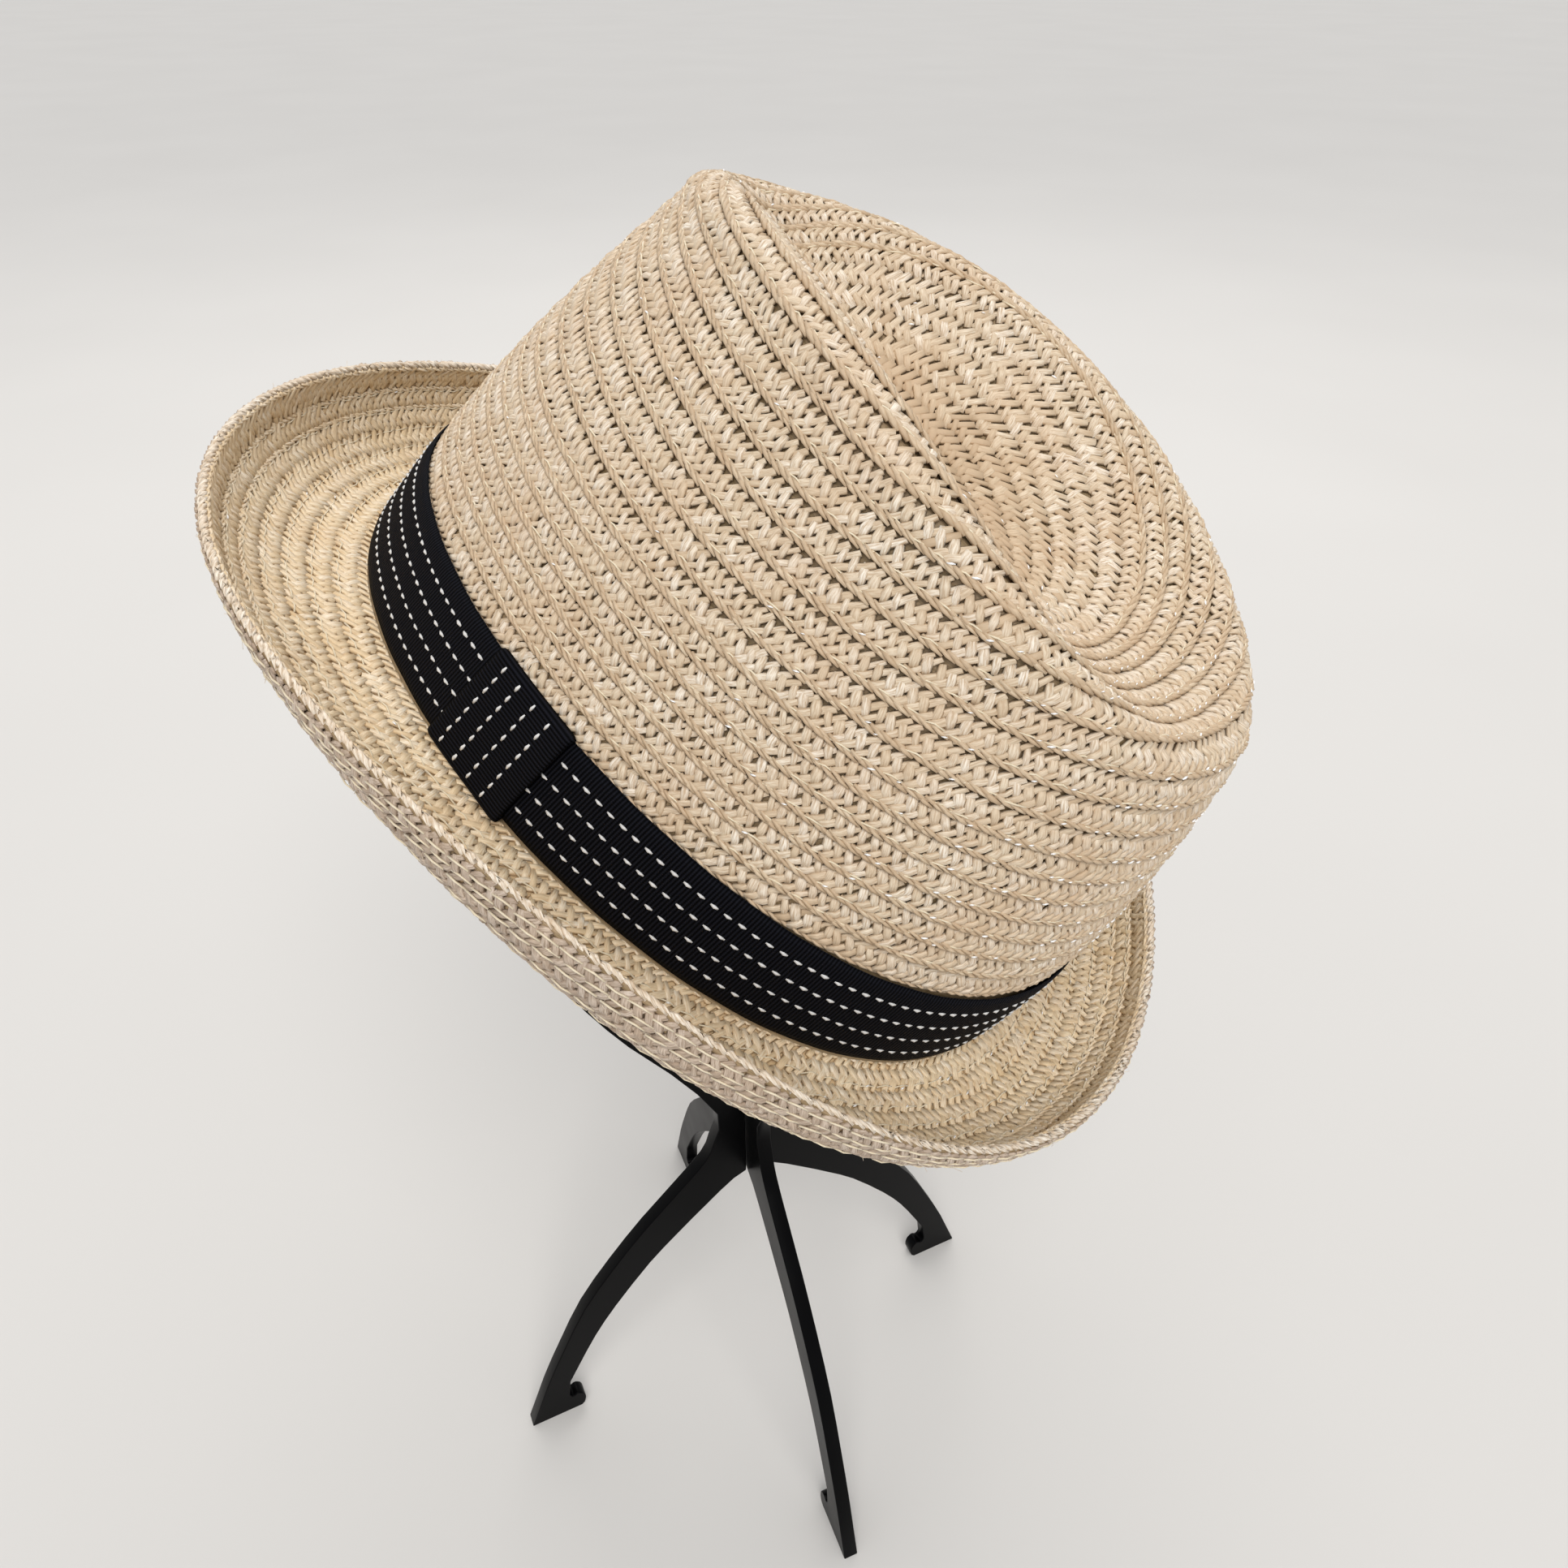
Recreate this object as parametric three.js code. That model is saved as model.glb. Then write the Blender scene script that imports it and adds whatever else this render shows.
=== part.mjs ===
// Straw fedora on a folding hat stand. Millimetres, +Z up.
//
// The hat has a frame of its own: the front of the head is +X, the wearer's left is +Y and the
// crown points along +Z, with the origin in the middle of the head opening. All its pieces are
// worked out in that frame and are then tilted as one group onto the stand's head.
// The stand is two flat blades that cross at a right angle on the Z axis.

import * as THREE from "three";
import { mergeVertices } from "three/addons/utils/BufferGeometryUtils.js";

const DEG = Math.PI / 180;

// Head opening: an oval, lower at its front and back than at its sides.
const HEAD_LENGTH = 200;
const HEAD_WIDTH = 166;
const HEAD_EGG = -0.015; // share of the width that the front half gains
const HEADLINE_TIP = -1.0; // height of the front over the back, halved
const HEADLINE_SADDLE = -6.0; // depth of the front and back, halved

// Straw braid.
const STRAW_WALL = 2.0;

// Crown ridge, where the side rolls over into the dent.
const RIDGE_LENGTH = 162;
const RIDGE_WIDTH = 101;
const RIDGE_SHIFT = -13.6; // towards the back
const RIDGE_TAPER = 0.144; // share of the width that the front half loses
const RIDGE_PINCH = -0.056;
const RIDGE_ROLL = 7.0; // radius of the roll
const CROWN_FRONT = 99.8; // height of the ridge at the front
const CROWN_SIDE = 105.8; // and at the sides
const CROWN_BACK = 85.2; // and at the back
const CROWN_SKEW = -1.0;
const CROWN_BULGE = 4.1; // how far the side swells between headline and ridge

// Dent in the top: a long valley whose bottom is a straight line.
const DENT_FRONT = 12; // ends of the valley line along X
const DENT_BACK = -27;
const DENT_FLOOR = 78.5; // height of the valley line
const DENT_FLOOR_RISE = 2.0; // how much higher its front end is
const DENT_ROLL_SIDE = 128 * DEG; // how far the roll turns before the dent's wall starts
const DENT_ROLL_FRONT = 118 * DEG;
const DENT_ROLL_BACK = 100 * DEG;
const DENT_FULLNESS = 0.9; // how long the wall keeps its slope at each end

// Brim: slopes away from the crown and then curls up.
const BRIM_SIDE_RUN = 42.1; // length along the surface at the sides
const BRIM_FRONT_RUN = 44.7;
const BRIM_BACK_RUN = 37.7;
const BRIM_START = [-0.361, -0.078, -0.177]; // starting slope in radians: mean, front, saddle
const BRIM_END = [1.598, -0.04, 0.19, 0.28]; // slope at the rim: mean, front, saddle, triple
const BRIM_CURL = 1.363; // power that delays the curl
const BRIM_DROP = 1.4; // the break sits this far under the band's foot

// Ribbon band and its keeper loop.
const BAND_WIDTH = 25.2;
const BAND_THICK = 1.0;
const LOOP_LENGTH = 24.5; // along the band
const LOOP_THICK = 1.0;
const LOOP_HEM = 0.8; // thickness of the turns over the band's two edges
const LOOP_PLACE = 94.3 * DEG; // from the front, towards the wearer's left

// Stand blades.
const BLADE_THICK = 4.5;
const FOOT_REACH = 84; // from the axis to the tip of a foot
const FOOT_LENGTH = 17.5; // flat underside of a foot
const FOOT_HOOK = 8.5; // height of the hook at the foot's inner end
const ARCH_HEIGHT = 96; // underside of the hub between two legs
const NECK_HEIGHT = 127;
const NECK_WIDTH = 23.2;
const HEAD_REST_WIDTH = 136; // widest place of the head
const HEAD_REST_HEIGHT = 262; // height of that place
const HEAD_REST_DOME = 72.9; // from there to the top
const LAP_HEIGHT = 212; // where the two blades' slots meet
const LAP_PLAY = 0.4; // play on each side of a slot
const BLADE_SKEW = 2.9 * DEG; // the second blade stands this far off square in its slot

// Gap between pieces that touch.
const GAP = 0.3;

// How the hat sits on the stand's head.
const HAT_TURN = 104.4 * DEG; // its front, from +X
const HAT_NOSE_UP = 23.36 * DEG;
const HAT_ROLL = 17.27 * DEG;
const HAT_SHIFT_X = 3.0;
const HAT_SHIFT_Y = 17.8;

// Facets.
const COLUMNS = 60;
const SIDE_ROWS = 4;
const ROLL_ROWS = 5;
const DENT_ROWS = 5;
const BRIM_ROWS = 8;
const LOOP_COLUMNS = 6;

const STRAW = new THREE.MeshStandardMaterial({ color: 0xddc8a4, roughness: 0.8, metalness: 0 });
const RIBBON = new THREE.MeshStandardMaterial({ color: 0x101013, roughness: 0.75, metalness: 0 });
const BLACK_PLASTIC = new THREE.MeshStandardMaterial({ color: 0x0c0c0d, roughness: 0.35, metalness: 0 });

const vec = (x, y, z) => new THREE.Vector3(x, y, z);

// Sum of a + b cos(t) + c cos(2t) + d cos(3t).
function waves(t, [mean, once = 0, twice = 0, thrice = 0]) {
  return mean + once * Math.cos(t) + twice * Math.cos(2 * t) + thrice * Math.cos(3 * t);
}

// Mean, front and saddle terms of a value given at the front, the sides and the back.
function frontSideBack(front, side, back) {
  const ends = (front + back) / 2;
  return [(ends + side) / 2, (front - back) / 2, (ends - side) / 2];
}

// Oval of the given length and width, and the outward normal in its plane, at angle t.
function oval(t, length, width, taper, pinch, shift) {
  const place = (a) =>
    vec(
      shift + (length / 2) * Math.cos(a),
      (width / 2) * Math.sin(a) * (1 - taper * Math.cos(a) - pinch * Math.cos(2 * a)),
      0,
    );
  const step = 1e-4;
  const along = place(t + step).sub(place(t - step));
  return { point: place(t), out: vec(along.y, -along.x, 0).normalize() };
}

const headline = (t) => oval(t, HEAD_LENGTH, HEAD_WIDTH, HEAD_EGG, 0, 0);
const headlineHeight = (t) => waves(t, [0, HEADLINE_TIP, HEADLINE_SADDLE]);
const ridge = (t) => oval(t, RIDGE_LENGTH, RIDGE_WIDTH, RIDGE_TAPER, RIDGE_PINCH, RIDGE_SHIFT);
const CROWN_HEIGHTS = frontSideBack(CROWN_FRONT, CROWN_SIDE, CROWN_BACK);
const crownHeight = (t) => waves(t, CROWN_HEIGHTS) + CROWN_SKEW * (Math.cos(3 * t) - Math.cos(t));

// Point of the crown's outer side at height z over the headline.
function crownSide(t, z) {
  const foot = headline(t);
  const share = z / crownHeight(t);
  const point = foot.point.clone().lerp(ridge(t).point, share);
  point.addScaledVector(foot.out, CROWN_BULGE * 4 * share * (1 - share));
  point.z = z + headlineHeight(t) * (1 - share);
  return point;
}

// Where the dent's valley line takes the column at angle t.
function valley(t) {
  const share = (1 + Math.cos(t)) / 2;
  return vec(DENT_BACK + (DENT_FRONT - DENT_BACK) * share, 0, DENT_FLOOR + DENT_FLOOR_RISE * share);
}

// Roll and dent: the place at angle t, where run goes from 0 at the top of the side to 1 at the
// end of the roll and 2 in the valley.
const DENT_ROLLS = frontSideBack(DENT_ROLL_FRONT, DENT_ROLL_SIDE, DENT_ROLL_BACK);
function crownTop(t, run) {
  const side = crownSide(t, crownHeight(t) - RIDGE_ROLL);
  const out = ridge(t).out;
  const centre = side.clone().addScaledVector(out, -RIDGE_ROLL);
  const turn = waves(t, DENT_ROLLS);
  const onRoll = (a) =>
    centre.clone().addScaledVector(out, RIDGE_ROLL * Math.cos(a)).add(vec(0, 0, RIDGE_ROLL * Math.sin(a)));
  if (run <= 1) return onRoll(turn * run);
  const from = onRoll(turn);
  const to = valley(t);
  const reach = from.distanceTo(to) * DENT_FULLNESS;
  const leave = out.clone().multiplyScalar(-Math.sin(turn)).add(vec(0, 0, Math.cos(turn)));
  const arrive = to.clone().sub(from).setZ(0).normalize();
  const s = run - 1;
  return vec(0, 0, 0)
    .addScaledVector(from, 2 * s ** 3 - 3 * s ** 2 + 1)
    .addScaledVector(leave, (s ** 3 - 2 * s ** 2 + s) * reach)
    .addScaledVector(to, 3 * s ** 2 - 2 * s ** 3)
    .addScaledVector(arrive, (s ** 3 - s ** 2) * reach);
}

// The crown's outer surface as one sheet: up is 0 at the foot, 1 at the top of the side, 2 at the
// end of the roll and 3 in the valley.
const CROWN_FOOT = -(BRIM_DROP - GAP);
function crownSurface(t, up) {
  if (up > 1) return crownTop(t, up - 1);
  const top = crownHeight(t) - RIDGE_ROLL;
  return crownSide(t, CROWN_FOOT + (top - CROWN_FOOT) * up);
}

// The brim's upper surface: across is 0 at the crown and 1 at the rim. Its lengths and slopes are
// those of the underside, which the upper surface leaves the wall's thickness clear of.
const BRIM_RUNS = frontSideBack(BRIM_FRONT_RUN, BRIM_SIDE_RUN, BRIM_BACK_RUN);
function brimSurface(t, across) {
  const foot = headline(t);
  const run = waves(t, BRIM_RUNS);
  const start = waves(t, BRIM_START);
  const end = waves(t, BRIM_END);
  const steps = 40;
  let out = 0;
  let up = 0;
  for (let i = 0; i < steps; i++) {
    const share = ((i + 0.5) / steps) * across;
    const slope = start + (end - start) * share ** BRIM_CURL;
    out += (Math.cos(slope) * run * across) / steps;
    up += (Math.sin(slope) * run * across) / steps;
  }
  const slope = start + (end - start) * across ** BRIM_CURL;
  const inset = STRAW_WALL * Math.sin(across * 90 * DEG);
  out -= Math.sin(slope) * inset;
  up += Math.cos(slope) * inset - BRIM_DROP * (1 - across) ** 2;
  return foot.point.addScaledVector(foot.out, out).add(vec(0, 0, headlineHeight(t) + up));
}

// Unit normal of a sheet at (t, v), on the side of the sheet that the turn of its grid gives.
function sheetNormal(sheet, t, v, low, high) {
  const step = 1e-3;
  const round = sheet(t + step, v).sub(sheet(t - step, v));
  const along = sheet(t, Math.min(v + step, high)).sub(sheet(t, Math.max(v - step, low)));
  return round.cross(along).normalize();
}

// A closed body from a grid of points: rings[row][column], closed round the columns. The first
// and last rings are joined when wrap is true, and each ring may be all one line of points.
function bodyFromRings(rings, wrap) {
  const points = [];
  rings.forEach((ring) => ring.forEach((p) => points.push(p.x, p.y, p.z)));
  const width = rings[0].length;
  const index = [];
  const last = wrap ? rings.length : rings.length - 1;
  for (let row = 0; row < last; row++) {
    const next = (row + 1) % rings.length;
    for (let column = 0; column < width; column++) {
      const beside = (column + 1) % width;
      const [a, b] = [row * width + column, row * width + beside];
      const [c, d] = [next * width + beside, next * width + column];
      index.push(a, b, c, a, c, d);
    }
  }
  return closedGeometry(points, index);
}

// Geometry with its equal points merged and its flat triangles left out.
function closedGeometry(points, index) {
  const raw = new THREE.BufferGeometry();
  raw.setAttribute("position", new THREE.Float32BufferAttribute(points, 3));
  raw.setIndex(index);
  const merged = mergeVertices(raw, 1e-3);
  const kept = [];
  const corner = merged.index.array;
  for (let i = 0; i < corner.length; i += 3) {
    const [a, b, c] = [corner[i], corner[i + 1], corner[i + 2]];
    if (a !== b && b !== c && c !== a) kept.push(a, b, c);
  }
  merged.setIndex(kept);
  merged.computeVertexNormals();
  return merged;
}

const ANGLES = Array.from({ length: COLUMNS }, (_, i) => (2 * Math.PI * i) / COLUMNS);

// Crown: the outer sheet down to its foot, and the inner one a wall's thickness behind it.
function crownGeometry() {
  const bandTop = (t) => (BAND_WIDTH - CROWN_FOOT) / (crownHeight(t) - RIDGE_ROLL - CROWN_FOOT);
  const rows = [() => 0, (t) => bandTop(t) / 2];
  for (let i = 0; i <= SIDE_ROWS; i++) {
    rows.push((t) => bandTop(t) + ((1 - bandTop(t)) * i) / SIDE_ROWS);
  }
  for (let i = 1; i <= ROLL_ROWS; i++) rows.push(() => 1 + i / ROLL_ROWS);
  for (let i = 1; i <= DENT_ROWS; i++) rows.push(() => 2 + i / DENT_ROWS);
  const outer = rows.map((row) => ANGLES.map((t) => crownSurface(t, row(t))));
  const inner = rows.map((row) =>
    ANGLES.map((t) => {
      const up = row(t);
      const point = crownSurface(t, up);
      if (up > 3 - 1e-6) return point.add(vec(0, 0, -STRAW_WALL));
      const back = point.clone().addScaledVector(sheetNormal(crownSurface, t, up, 0, 3), -STRAW_WALL);
      return up < 1e-6 ? back.setZ(point.z) : back;
    }),
  );
  return bodyFromRings([...inner.reverse(), ...outer], false);
}

// Brim: a flat strip under the crown's wall, then the upper sheet to the rim and the lower back.
function brimGeometry() {
  const rows = Array.from({ length: BRIM_ROWS + 1 }, (_, i) => i / BRIM_ROWS);
  const upper = rows.map((row) => ANGLES.map((t) => brimSurface(t, row)));
  const lower = rows.map((row) =>
    ANGLES.map((t) => {
      const normal = sheetNormal(brimSurface, t, row, 0, 1);
      return brimSurface(t, row).addScaledVector(normal, STRAW_WALL);
    }),
  );
  const strip = (z) =>
    ANGLES.map((t) => brimSurface(t, 0).addScaledVector(headline(t).out, -STRAW_WALL).add(vec(0, 0, z)));
  const rings = [strip(0), ...upper, ...lower.reverse(), strip(-STRAW_WALL)];
  return bodyFromRings(rings.reverse(), true);
}

// A point at height z on the crown's side, moved out from the wall.
function overCrown(t, z, out) {
  const top = crownHeight(t) - RIDGE_ROLL;
  const normal = sheetNormal(crownSide, t, z, CROWN_FOOT, top);
  return crownSide(t, z).addScaledVector(normal, out);
}

// Ribbon band: a closed hoop of four faces, with a row of points along its middle.
function bandGeometry() {
  const heights = [0, BAND_WIDTH / 2, BAND_WIDTH];
  const ring = (out) => heights.map((z) => ANGLES.map((t) => overCrown(t, z, out)));
  return bodyFromRings([...ring(GAP).reverse(), ...ring(GAP + BAND_THICK)], true);
}

// Keeper loop: a plate over the band with a turn over each of the band's edges.
function loopGeometry() {
  const bandFace = GAP + BAND_THICK;
  const face = bandFace + GAP;
  const back = GAP;
  const outer = face + LOOP_THICK;
  const [low, high] = [-GAP, BAND_WIDTH + GAP];
  const middle = BAND_WIDTH / 2;
  const section = [
    { z: low - LOOP_HEM, out: back },
    { z: low - LOOP_HEM, out: outer },
    { z: middle, out: outer },
    { z: high + LOOP_HEM, out: outer },
    { z: high + LOOP_HEM, out: back },
    { z: high, out: back },
    { z: high, out: face },
    { z: middle, out: face },
    { z: low, out: face },
    { z: low, out: back },
  ];
  const step = 1e-3;
  const pace = headline(LOOP_PLACE + step).point.distanceTo(headline(LOOP_PLACE).point) / step;
  const half = LOOP_LENGTH / 2 / pace;
  const points = [];
  for (let i = 0; i <= LOOP_COLUMNS; i++) {
    const t = LOOP_PLACE - half + (2 * half * i) / LOOP_COLUMNS;
    section.forEach(({ z, out }) => points.push(...overCrown(t, z, out).toArray()));
  }
  const width = section.length;
  const index = [];
  for (let i = 0; i < LOOP_COLUMNS; i++) {
    for (let j = 0; j < width; j++) {
      const k = (j + 1) % width;
      const [a, b] = [i * width + j, i * width + k];
      index.push(a, a + width, b, b, a + width, b + width);
    }
  }
  const end = LOOP_COLUMNS * width;
  const caps = [[0, 1, 8], [0, 8, 9], [1, 2, 7], [1, 7, 8], [2, 3, 6], [2, 6, 7], [3, 4, 5], [3, 5, 6]];
  caps.forEach(([a, b, c]) => index.push(a, b, c, end + a, end + c, end + b));
  return closedGeometry(points, index);
}

// Outer edge of a leg, from the foot's tip up to the neck: shares of the foot's reach and of the
// neck's height.
const LEG_OUTER = [
  { reach: 0.913, height: 0.157 },
  { reach: 0.823, height: 0.294 },
  { reach: 0.718, height: 0.436 },
  { reach: 0.587, height: 0.558 },
  { reach: 0.443, height: 0.671 },
  { reach: 0.288, height: 0.775 },
  { reach: 0.194, height: 0.843 },
  { reach: 0.158, height: 0.9 },
];

// Inner edge of a leg, from the arch down to the foot: shares of the reach and the arch's height.
const LEG_INNER = [
  { reach: 0.083, height: 0.969 },
  { reach: 0.202, height: 0.885 },
  { reach: 0.321, height: 0.792 },
  { reach: 0.44, height: 0.693 },
  { reach: 0.595, height: 0.526 },
  { reach: 0.69, height: 0.401 },
  { reach: 0.768, height: 0.271 },
  { reach: 0.82, height: 0.18 },
];

// The foot's inner end, from the notch beside the leg round the hook to the floor: shares of the
// foot's length from its tip, and of the hook's height.
const FOOT_INNER = [
  { back: 0.8, height: 1.1 },
  { back: 0.86, height: 0.9 },
  { back: 0.96, height: 1 },
  { back: 1.07, height: 0.8 },
  { back: 1.1, height: 0.45 },
  { back: 1.06, height: 0.12 },
];

// Edge of the head from the neck out to its widest place: shares of the way out and up.
const HEAD_FLARE = [
  { out: 0.24, up: 0.185 },
  { out: 0.44, up: 0.31 },
  { out: 0.62, up: 0.445 },
  { out: 0.76, up: 0.575 },
  { out: 0.9, up: 0.75 },
];

// Half outline of a blade in (reach, height), from the top of the arch out to the foot, up the
// leg and the neck, and round the head to the top.
function bladeEdge() {
  const neck = NECK_WIDTH / 2;
  const head = HEAD_REST_WIDTH / 2;
  const flat = (x, y) => new THREE.Vector2(x, y);
  const inner = new THREE.SplineCurve([
    flat(0, ARCH_HEIGHT),
    ...LEG_INNER.map((row) => flat(row.reach * FOOT_REACH, row.height * ARCH_HEIGHT)),
  ]);
  const hook = new THREE.SplineCurve(
    FOOT_INNER.map((row) => flat(FOOT_REACH - row.back * FOOT_LENGTH, row.height * FOOT_HOOK)),
  );
  const outer = new THREE.SplineCurve([
    flat(FOOT_REACH, 0),
    ...LEG_OUTER.map((row) => flat(row.reach * FOOT_REACH, row.height * NECK_HEIGHT)),
    flat(neck, NECK_HEIGHT),
    ...HEAD_FLARE.map((row) =>
      flat(neck + (head - neck) * row.out, NECK_HEIGHT + (HEAD_REST_HEIGHT - NECK_HEIGHT) * row.up),
    ),
    flat(head, HEAD_REST_HEIGHT),
  ]);
  const dome = new THREE.EllipseCurve(0, HEAD_REST_HEIGHT, head, HEAD_REST_DOME, 0, 90 * DEG, false);
  return [
    ...inner.getPoints(16),
    ...hook.getPoints(12),
    flat(FOOT_REACH - FOOT_LENGTH, 0),
    ...outer.getPoints(30),
    ...dome.getPoints(18).slice(1),
  ];
}

// A blade's whole outline with its slot, which opens at the arch or at the top.
function bladeShape(slotFromTop) {
  const edge = bladeEdge();
  const half = BLADE_THICK / 2 + LAP_PLAY;
  const mouth = slotFromTop ? edge[edge.length - 1] : edge[0];
  const floor = slotFromTop ? LAP_HEIGHT - LAP_PLAY : LAP_HEIGHT + LAP_PLAY;
  const kept = edge.filter((p) => p === mouth || p.x > half + 0.5);
  const beside = slotFromTop ? kept[kept.length - 2] : kept[1];
  const right = kept.filter((p) => p !== mouth);
  const lip = new THREE.Vector2(half, mouth.y + ((beside.y - mouth.y) * half) / beside.x);
  const slotFloor = new THREE.Vector2(half, floor);
  const otherEnd = slotFromTop ? edge[0] : edge[edge.length - 1];
  const side = slotFromTop ? [...right, lip, slotFloor] : [slotFloor, lip, ...right];
  const mirrored = side.map((p) => new THREE.Vector2(-p.x, p.y)).reverse();
  const outline = slotFromTop ? [otherEnd, ...side, ...mirrored] : [...side, otherEnd, ...mirrored];
  return new THREE.Shape(outline);
}

// A blade standing in the XZ plane.
function bladeGeometry(slotFromTop) {
  const plate = new THREE.ExtrudeGeometry(bladeShape(slotFromTop), {
    depth: BLADE_THICK,
    bevelEnabled: false,
    curveSegments: 1,
  });
  plate.translate(0, 0, -BLADE_THICK / 2);
  plate.rotateX(90 * DEG);
  return plate;
}

function named(name, geometry, material) {
  const mesh = new THREE.Mesh(geometry, material);
  mesh.name = name;
  return mesh;
}

// Lowest height of the hat's origin at which the crown's lining side clears both blades' heads:
// each inner facet is sampled, and what lies within a blade's thickness must clear its dome.
function seatHeight(crown, turn) {
  const head = HEAD_REST_WIDTH / 2 + GAP;
  const dome = HEAD_REST_DOME + GAP;
  const place = crown.getAttribute("position");
  const corner = crown.index.array;
  const nearBlade = BLADE_THICK / 2 + GAP;
  const samples = 12;
  let lift = -Infinity;
  const at = (i) =>
    vec(place.getX(i), place.getY(i), place.getZ(i)).applyEuler(turn).add(vec(HAT_SHIFT_X, HAT_SHIFT_Y, 0));
  for (let f = 0; f < corner.length; f += 3) {
    const [a, b, c] = [at(corner[f]), at(corner[f + 1]), at(corner[f + 2])];
    for (let i = 0; i <= samples; i++) {
      for (let j = 0; j <= samples - i; j++) {
        const p = a.clone().multiplyScalar(i / samples);
        p.addScaledVector(b, j / samples).addScaledVector(c, 1 - (i + j) / samples);
        const reaches = [];
        if (Math.abs(p.y) < nearBlade) reaches.push(Math.abs(p.x));
        if (Math.abs(p.x) < nearBlade) reaches.push(Math.abs(p.y));
        for (const reach of reaches) {
          if (reach >= head) continue;
          const top = HEAD_REST_HEIGHT + dome * Math.sqrt(1 - (reach / head) ** 2);
          lift = Math.max(lift, top - p.z);
        }
      }
    }
  }
  return lift;
}

const straw = crownGeometry();
const hatTurn = new THREE.Euler(HAT_ROLL, -HAT_NOSE_UP, HAT_TURN, "ZYX");

const hat = new THREE.Group();
hat.add(named("crown", straw, STRAW));
hat.add(named("brim", brimGeometry(), STRAW));
hat.add(named("band", bandGeometry(), RIBBON));
hat.add(named("band_loop", loopGeometry(), RIBBON));
hat.rotation.copy(hatTurn);
hat.position.set(HAT_SHIFT_X, HAT_SHIFT_Y, seatHeight(straw, hatTurn));

const stand = new THREE.Group();
stand.add(named("stand_blade_wide", bladeGeometry(false), BLACK_PLASTIC));
const cross = named("stand_blade_cross", bladeGeometry(true), BLACK_PLASTIC);
cross.rotation.z = 90 * DEG - BLADE_SKEW;
stand.add(cross);

// The part's origin is the middle of its box, on the floor.
const part = new THREE.Group();
part.add(hat, stand);
part.updateMatrixWorld(true);
const box = new THREE.Box3().setFromObject(part, true);
const centre = box.getCenter(vec(0, 0, 0));
for (const group of [hat, stand]) {
  group.position.x -= centre.x;
  group.position.y -= centre.y;
}

export default part;
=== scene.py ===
# %% [markdown]
# # A straw fedora on a folding hat stand
# This notebook dresses a finished CAD model. The model already has every piece at its real size:
# the crown, the brim, the ribbon band with its keeper loop, and the two blades of the stand.
# Here we give those pieces the surface that the eye expects: plaited straw in sewn rows, ribbed
# ribbon with white running stitches, and moulded black plastic with softened edges.
# Everything is in metres in the CAD model's own frame, so nothing has to be fitted by hand.

import math

import bmesh
import bpy
import numpy as np
from mathutils import Euler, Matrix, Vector


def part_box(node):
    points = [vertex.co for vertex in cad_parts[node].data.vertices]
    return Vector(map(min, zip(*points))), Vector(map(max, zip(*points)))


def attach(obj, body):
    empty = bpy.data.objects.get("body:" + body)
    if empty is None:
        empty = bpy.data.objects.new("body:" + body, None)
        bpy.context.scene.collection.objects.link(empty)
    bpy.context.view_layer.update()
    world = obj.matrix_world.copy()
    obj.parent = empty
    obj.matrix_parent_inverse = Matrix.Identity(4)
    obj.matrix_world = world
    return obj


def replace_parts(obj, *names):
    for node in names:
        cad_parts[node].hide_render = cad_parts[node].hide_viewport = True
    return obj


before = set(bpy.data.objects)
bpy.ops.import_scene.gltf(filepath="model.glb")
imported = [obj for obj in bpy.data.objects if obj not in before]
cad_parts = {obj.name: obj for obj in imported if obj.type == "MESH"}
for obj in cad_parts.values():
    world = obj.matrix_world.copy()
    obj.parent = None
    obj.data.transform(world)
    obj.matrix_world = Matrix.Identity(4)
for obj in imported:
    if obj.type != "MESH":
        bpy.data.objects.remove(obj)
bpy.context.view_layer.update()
MM = 0.001
print("CAD nodes:", sorted(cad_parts))

# %% [markdown]
# ## Camera
# The photograph looks down at the hat from its left, close up with a phone's wide lens. A camera
# that stands at the same place with the same field of view gives the same perspective, which is
# what makes the near side of the crown look so large. A new object only shows once it is linked
# to the scene, so one small function does both.

# %% Camera
CAMERA_PLACE = Vector((-99.34, -233.69, 416.6)) * MM
CAMERA_TURN = [math.radians(a) for a in (53.8333, -0.1873, -25.2982)]
LENS_MM = 27.125
SENSOR_MM = 36.0
NEAREST_MM = 10


def in_scene(name, data):
    """A new object that shows the data, linked to the scene."""
    thing = bpy.data.objects.new(name, data)
    bpy.context.scene.collection.objects.link(thing)
    return thing


camera = in_scene("camera", bpy.data.cameras.new("camera"))
camera.data.lens = LENS_MM
camera.data.sensor_width = SENSOR_MM
camera.data.clip_start = NEAREST_MM * MM
camera.location = CAMERA_PLACE
camera.rotation_euler = Euler(CAMERA_TURN)
bpy.context.scene.camera = camera
print("camera at", [round(c, 3) for c in CAMERA_PLACE])

# %% [markdown]
# ## The hat's form as formulas
# The hat was blocked over a form: its side leans in from an oval head opening to a narrower oval
# ridge, rolls over, and drops into one long dent. The CAD source describes that with a few sizes,
# and the same formulas are repeated here, because the braid has to follow the surface exactly.
# They take whole arrays of places at once, which is how a million points stay quick.

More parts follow.
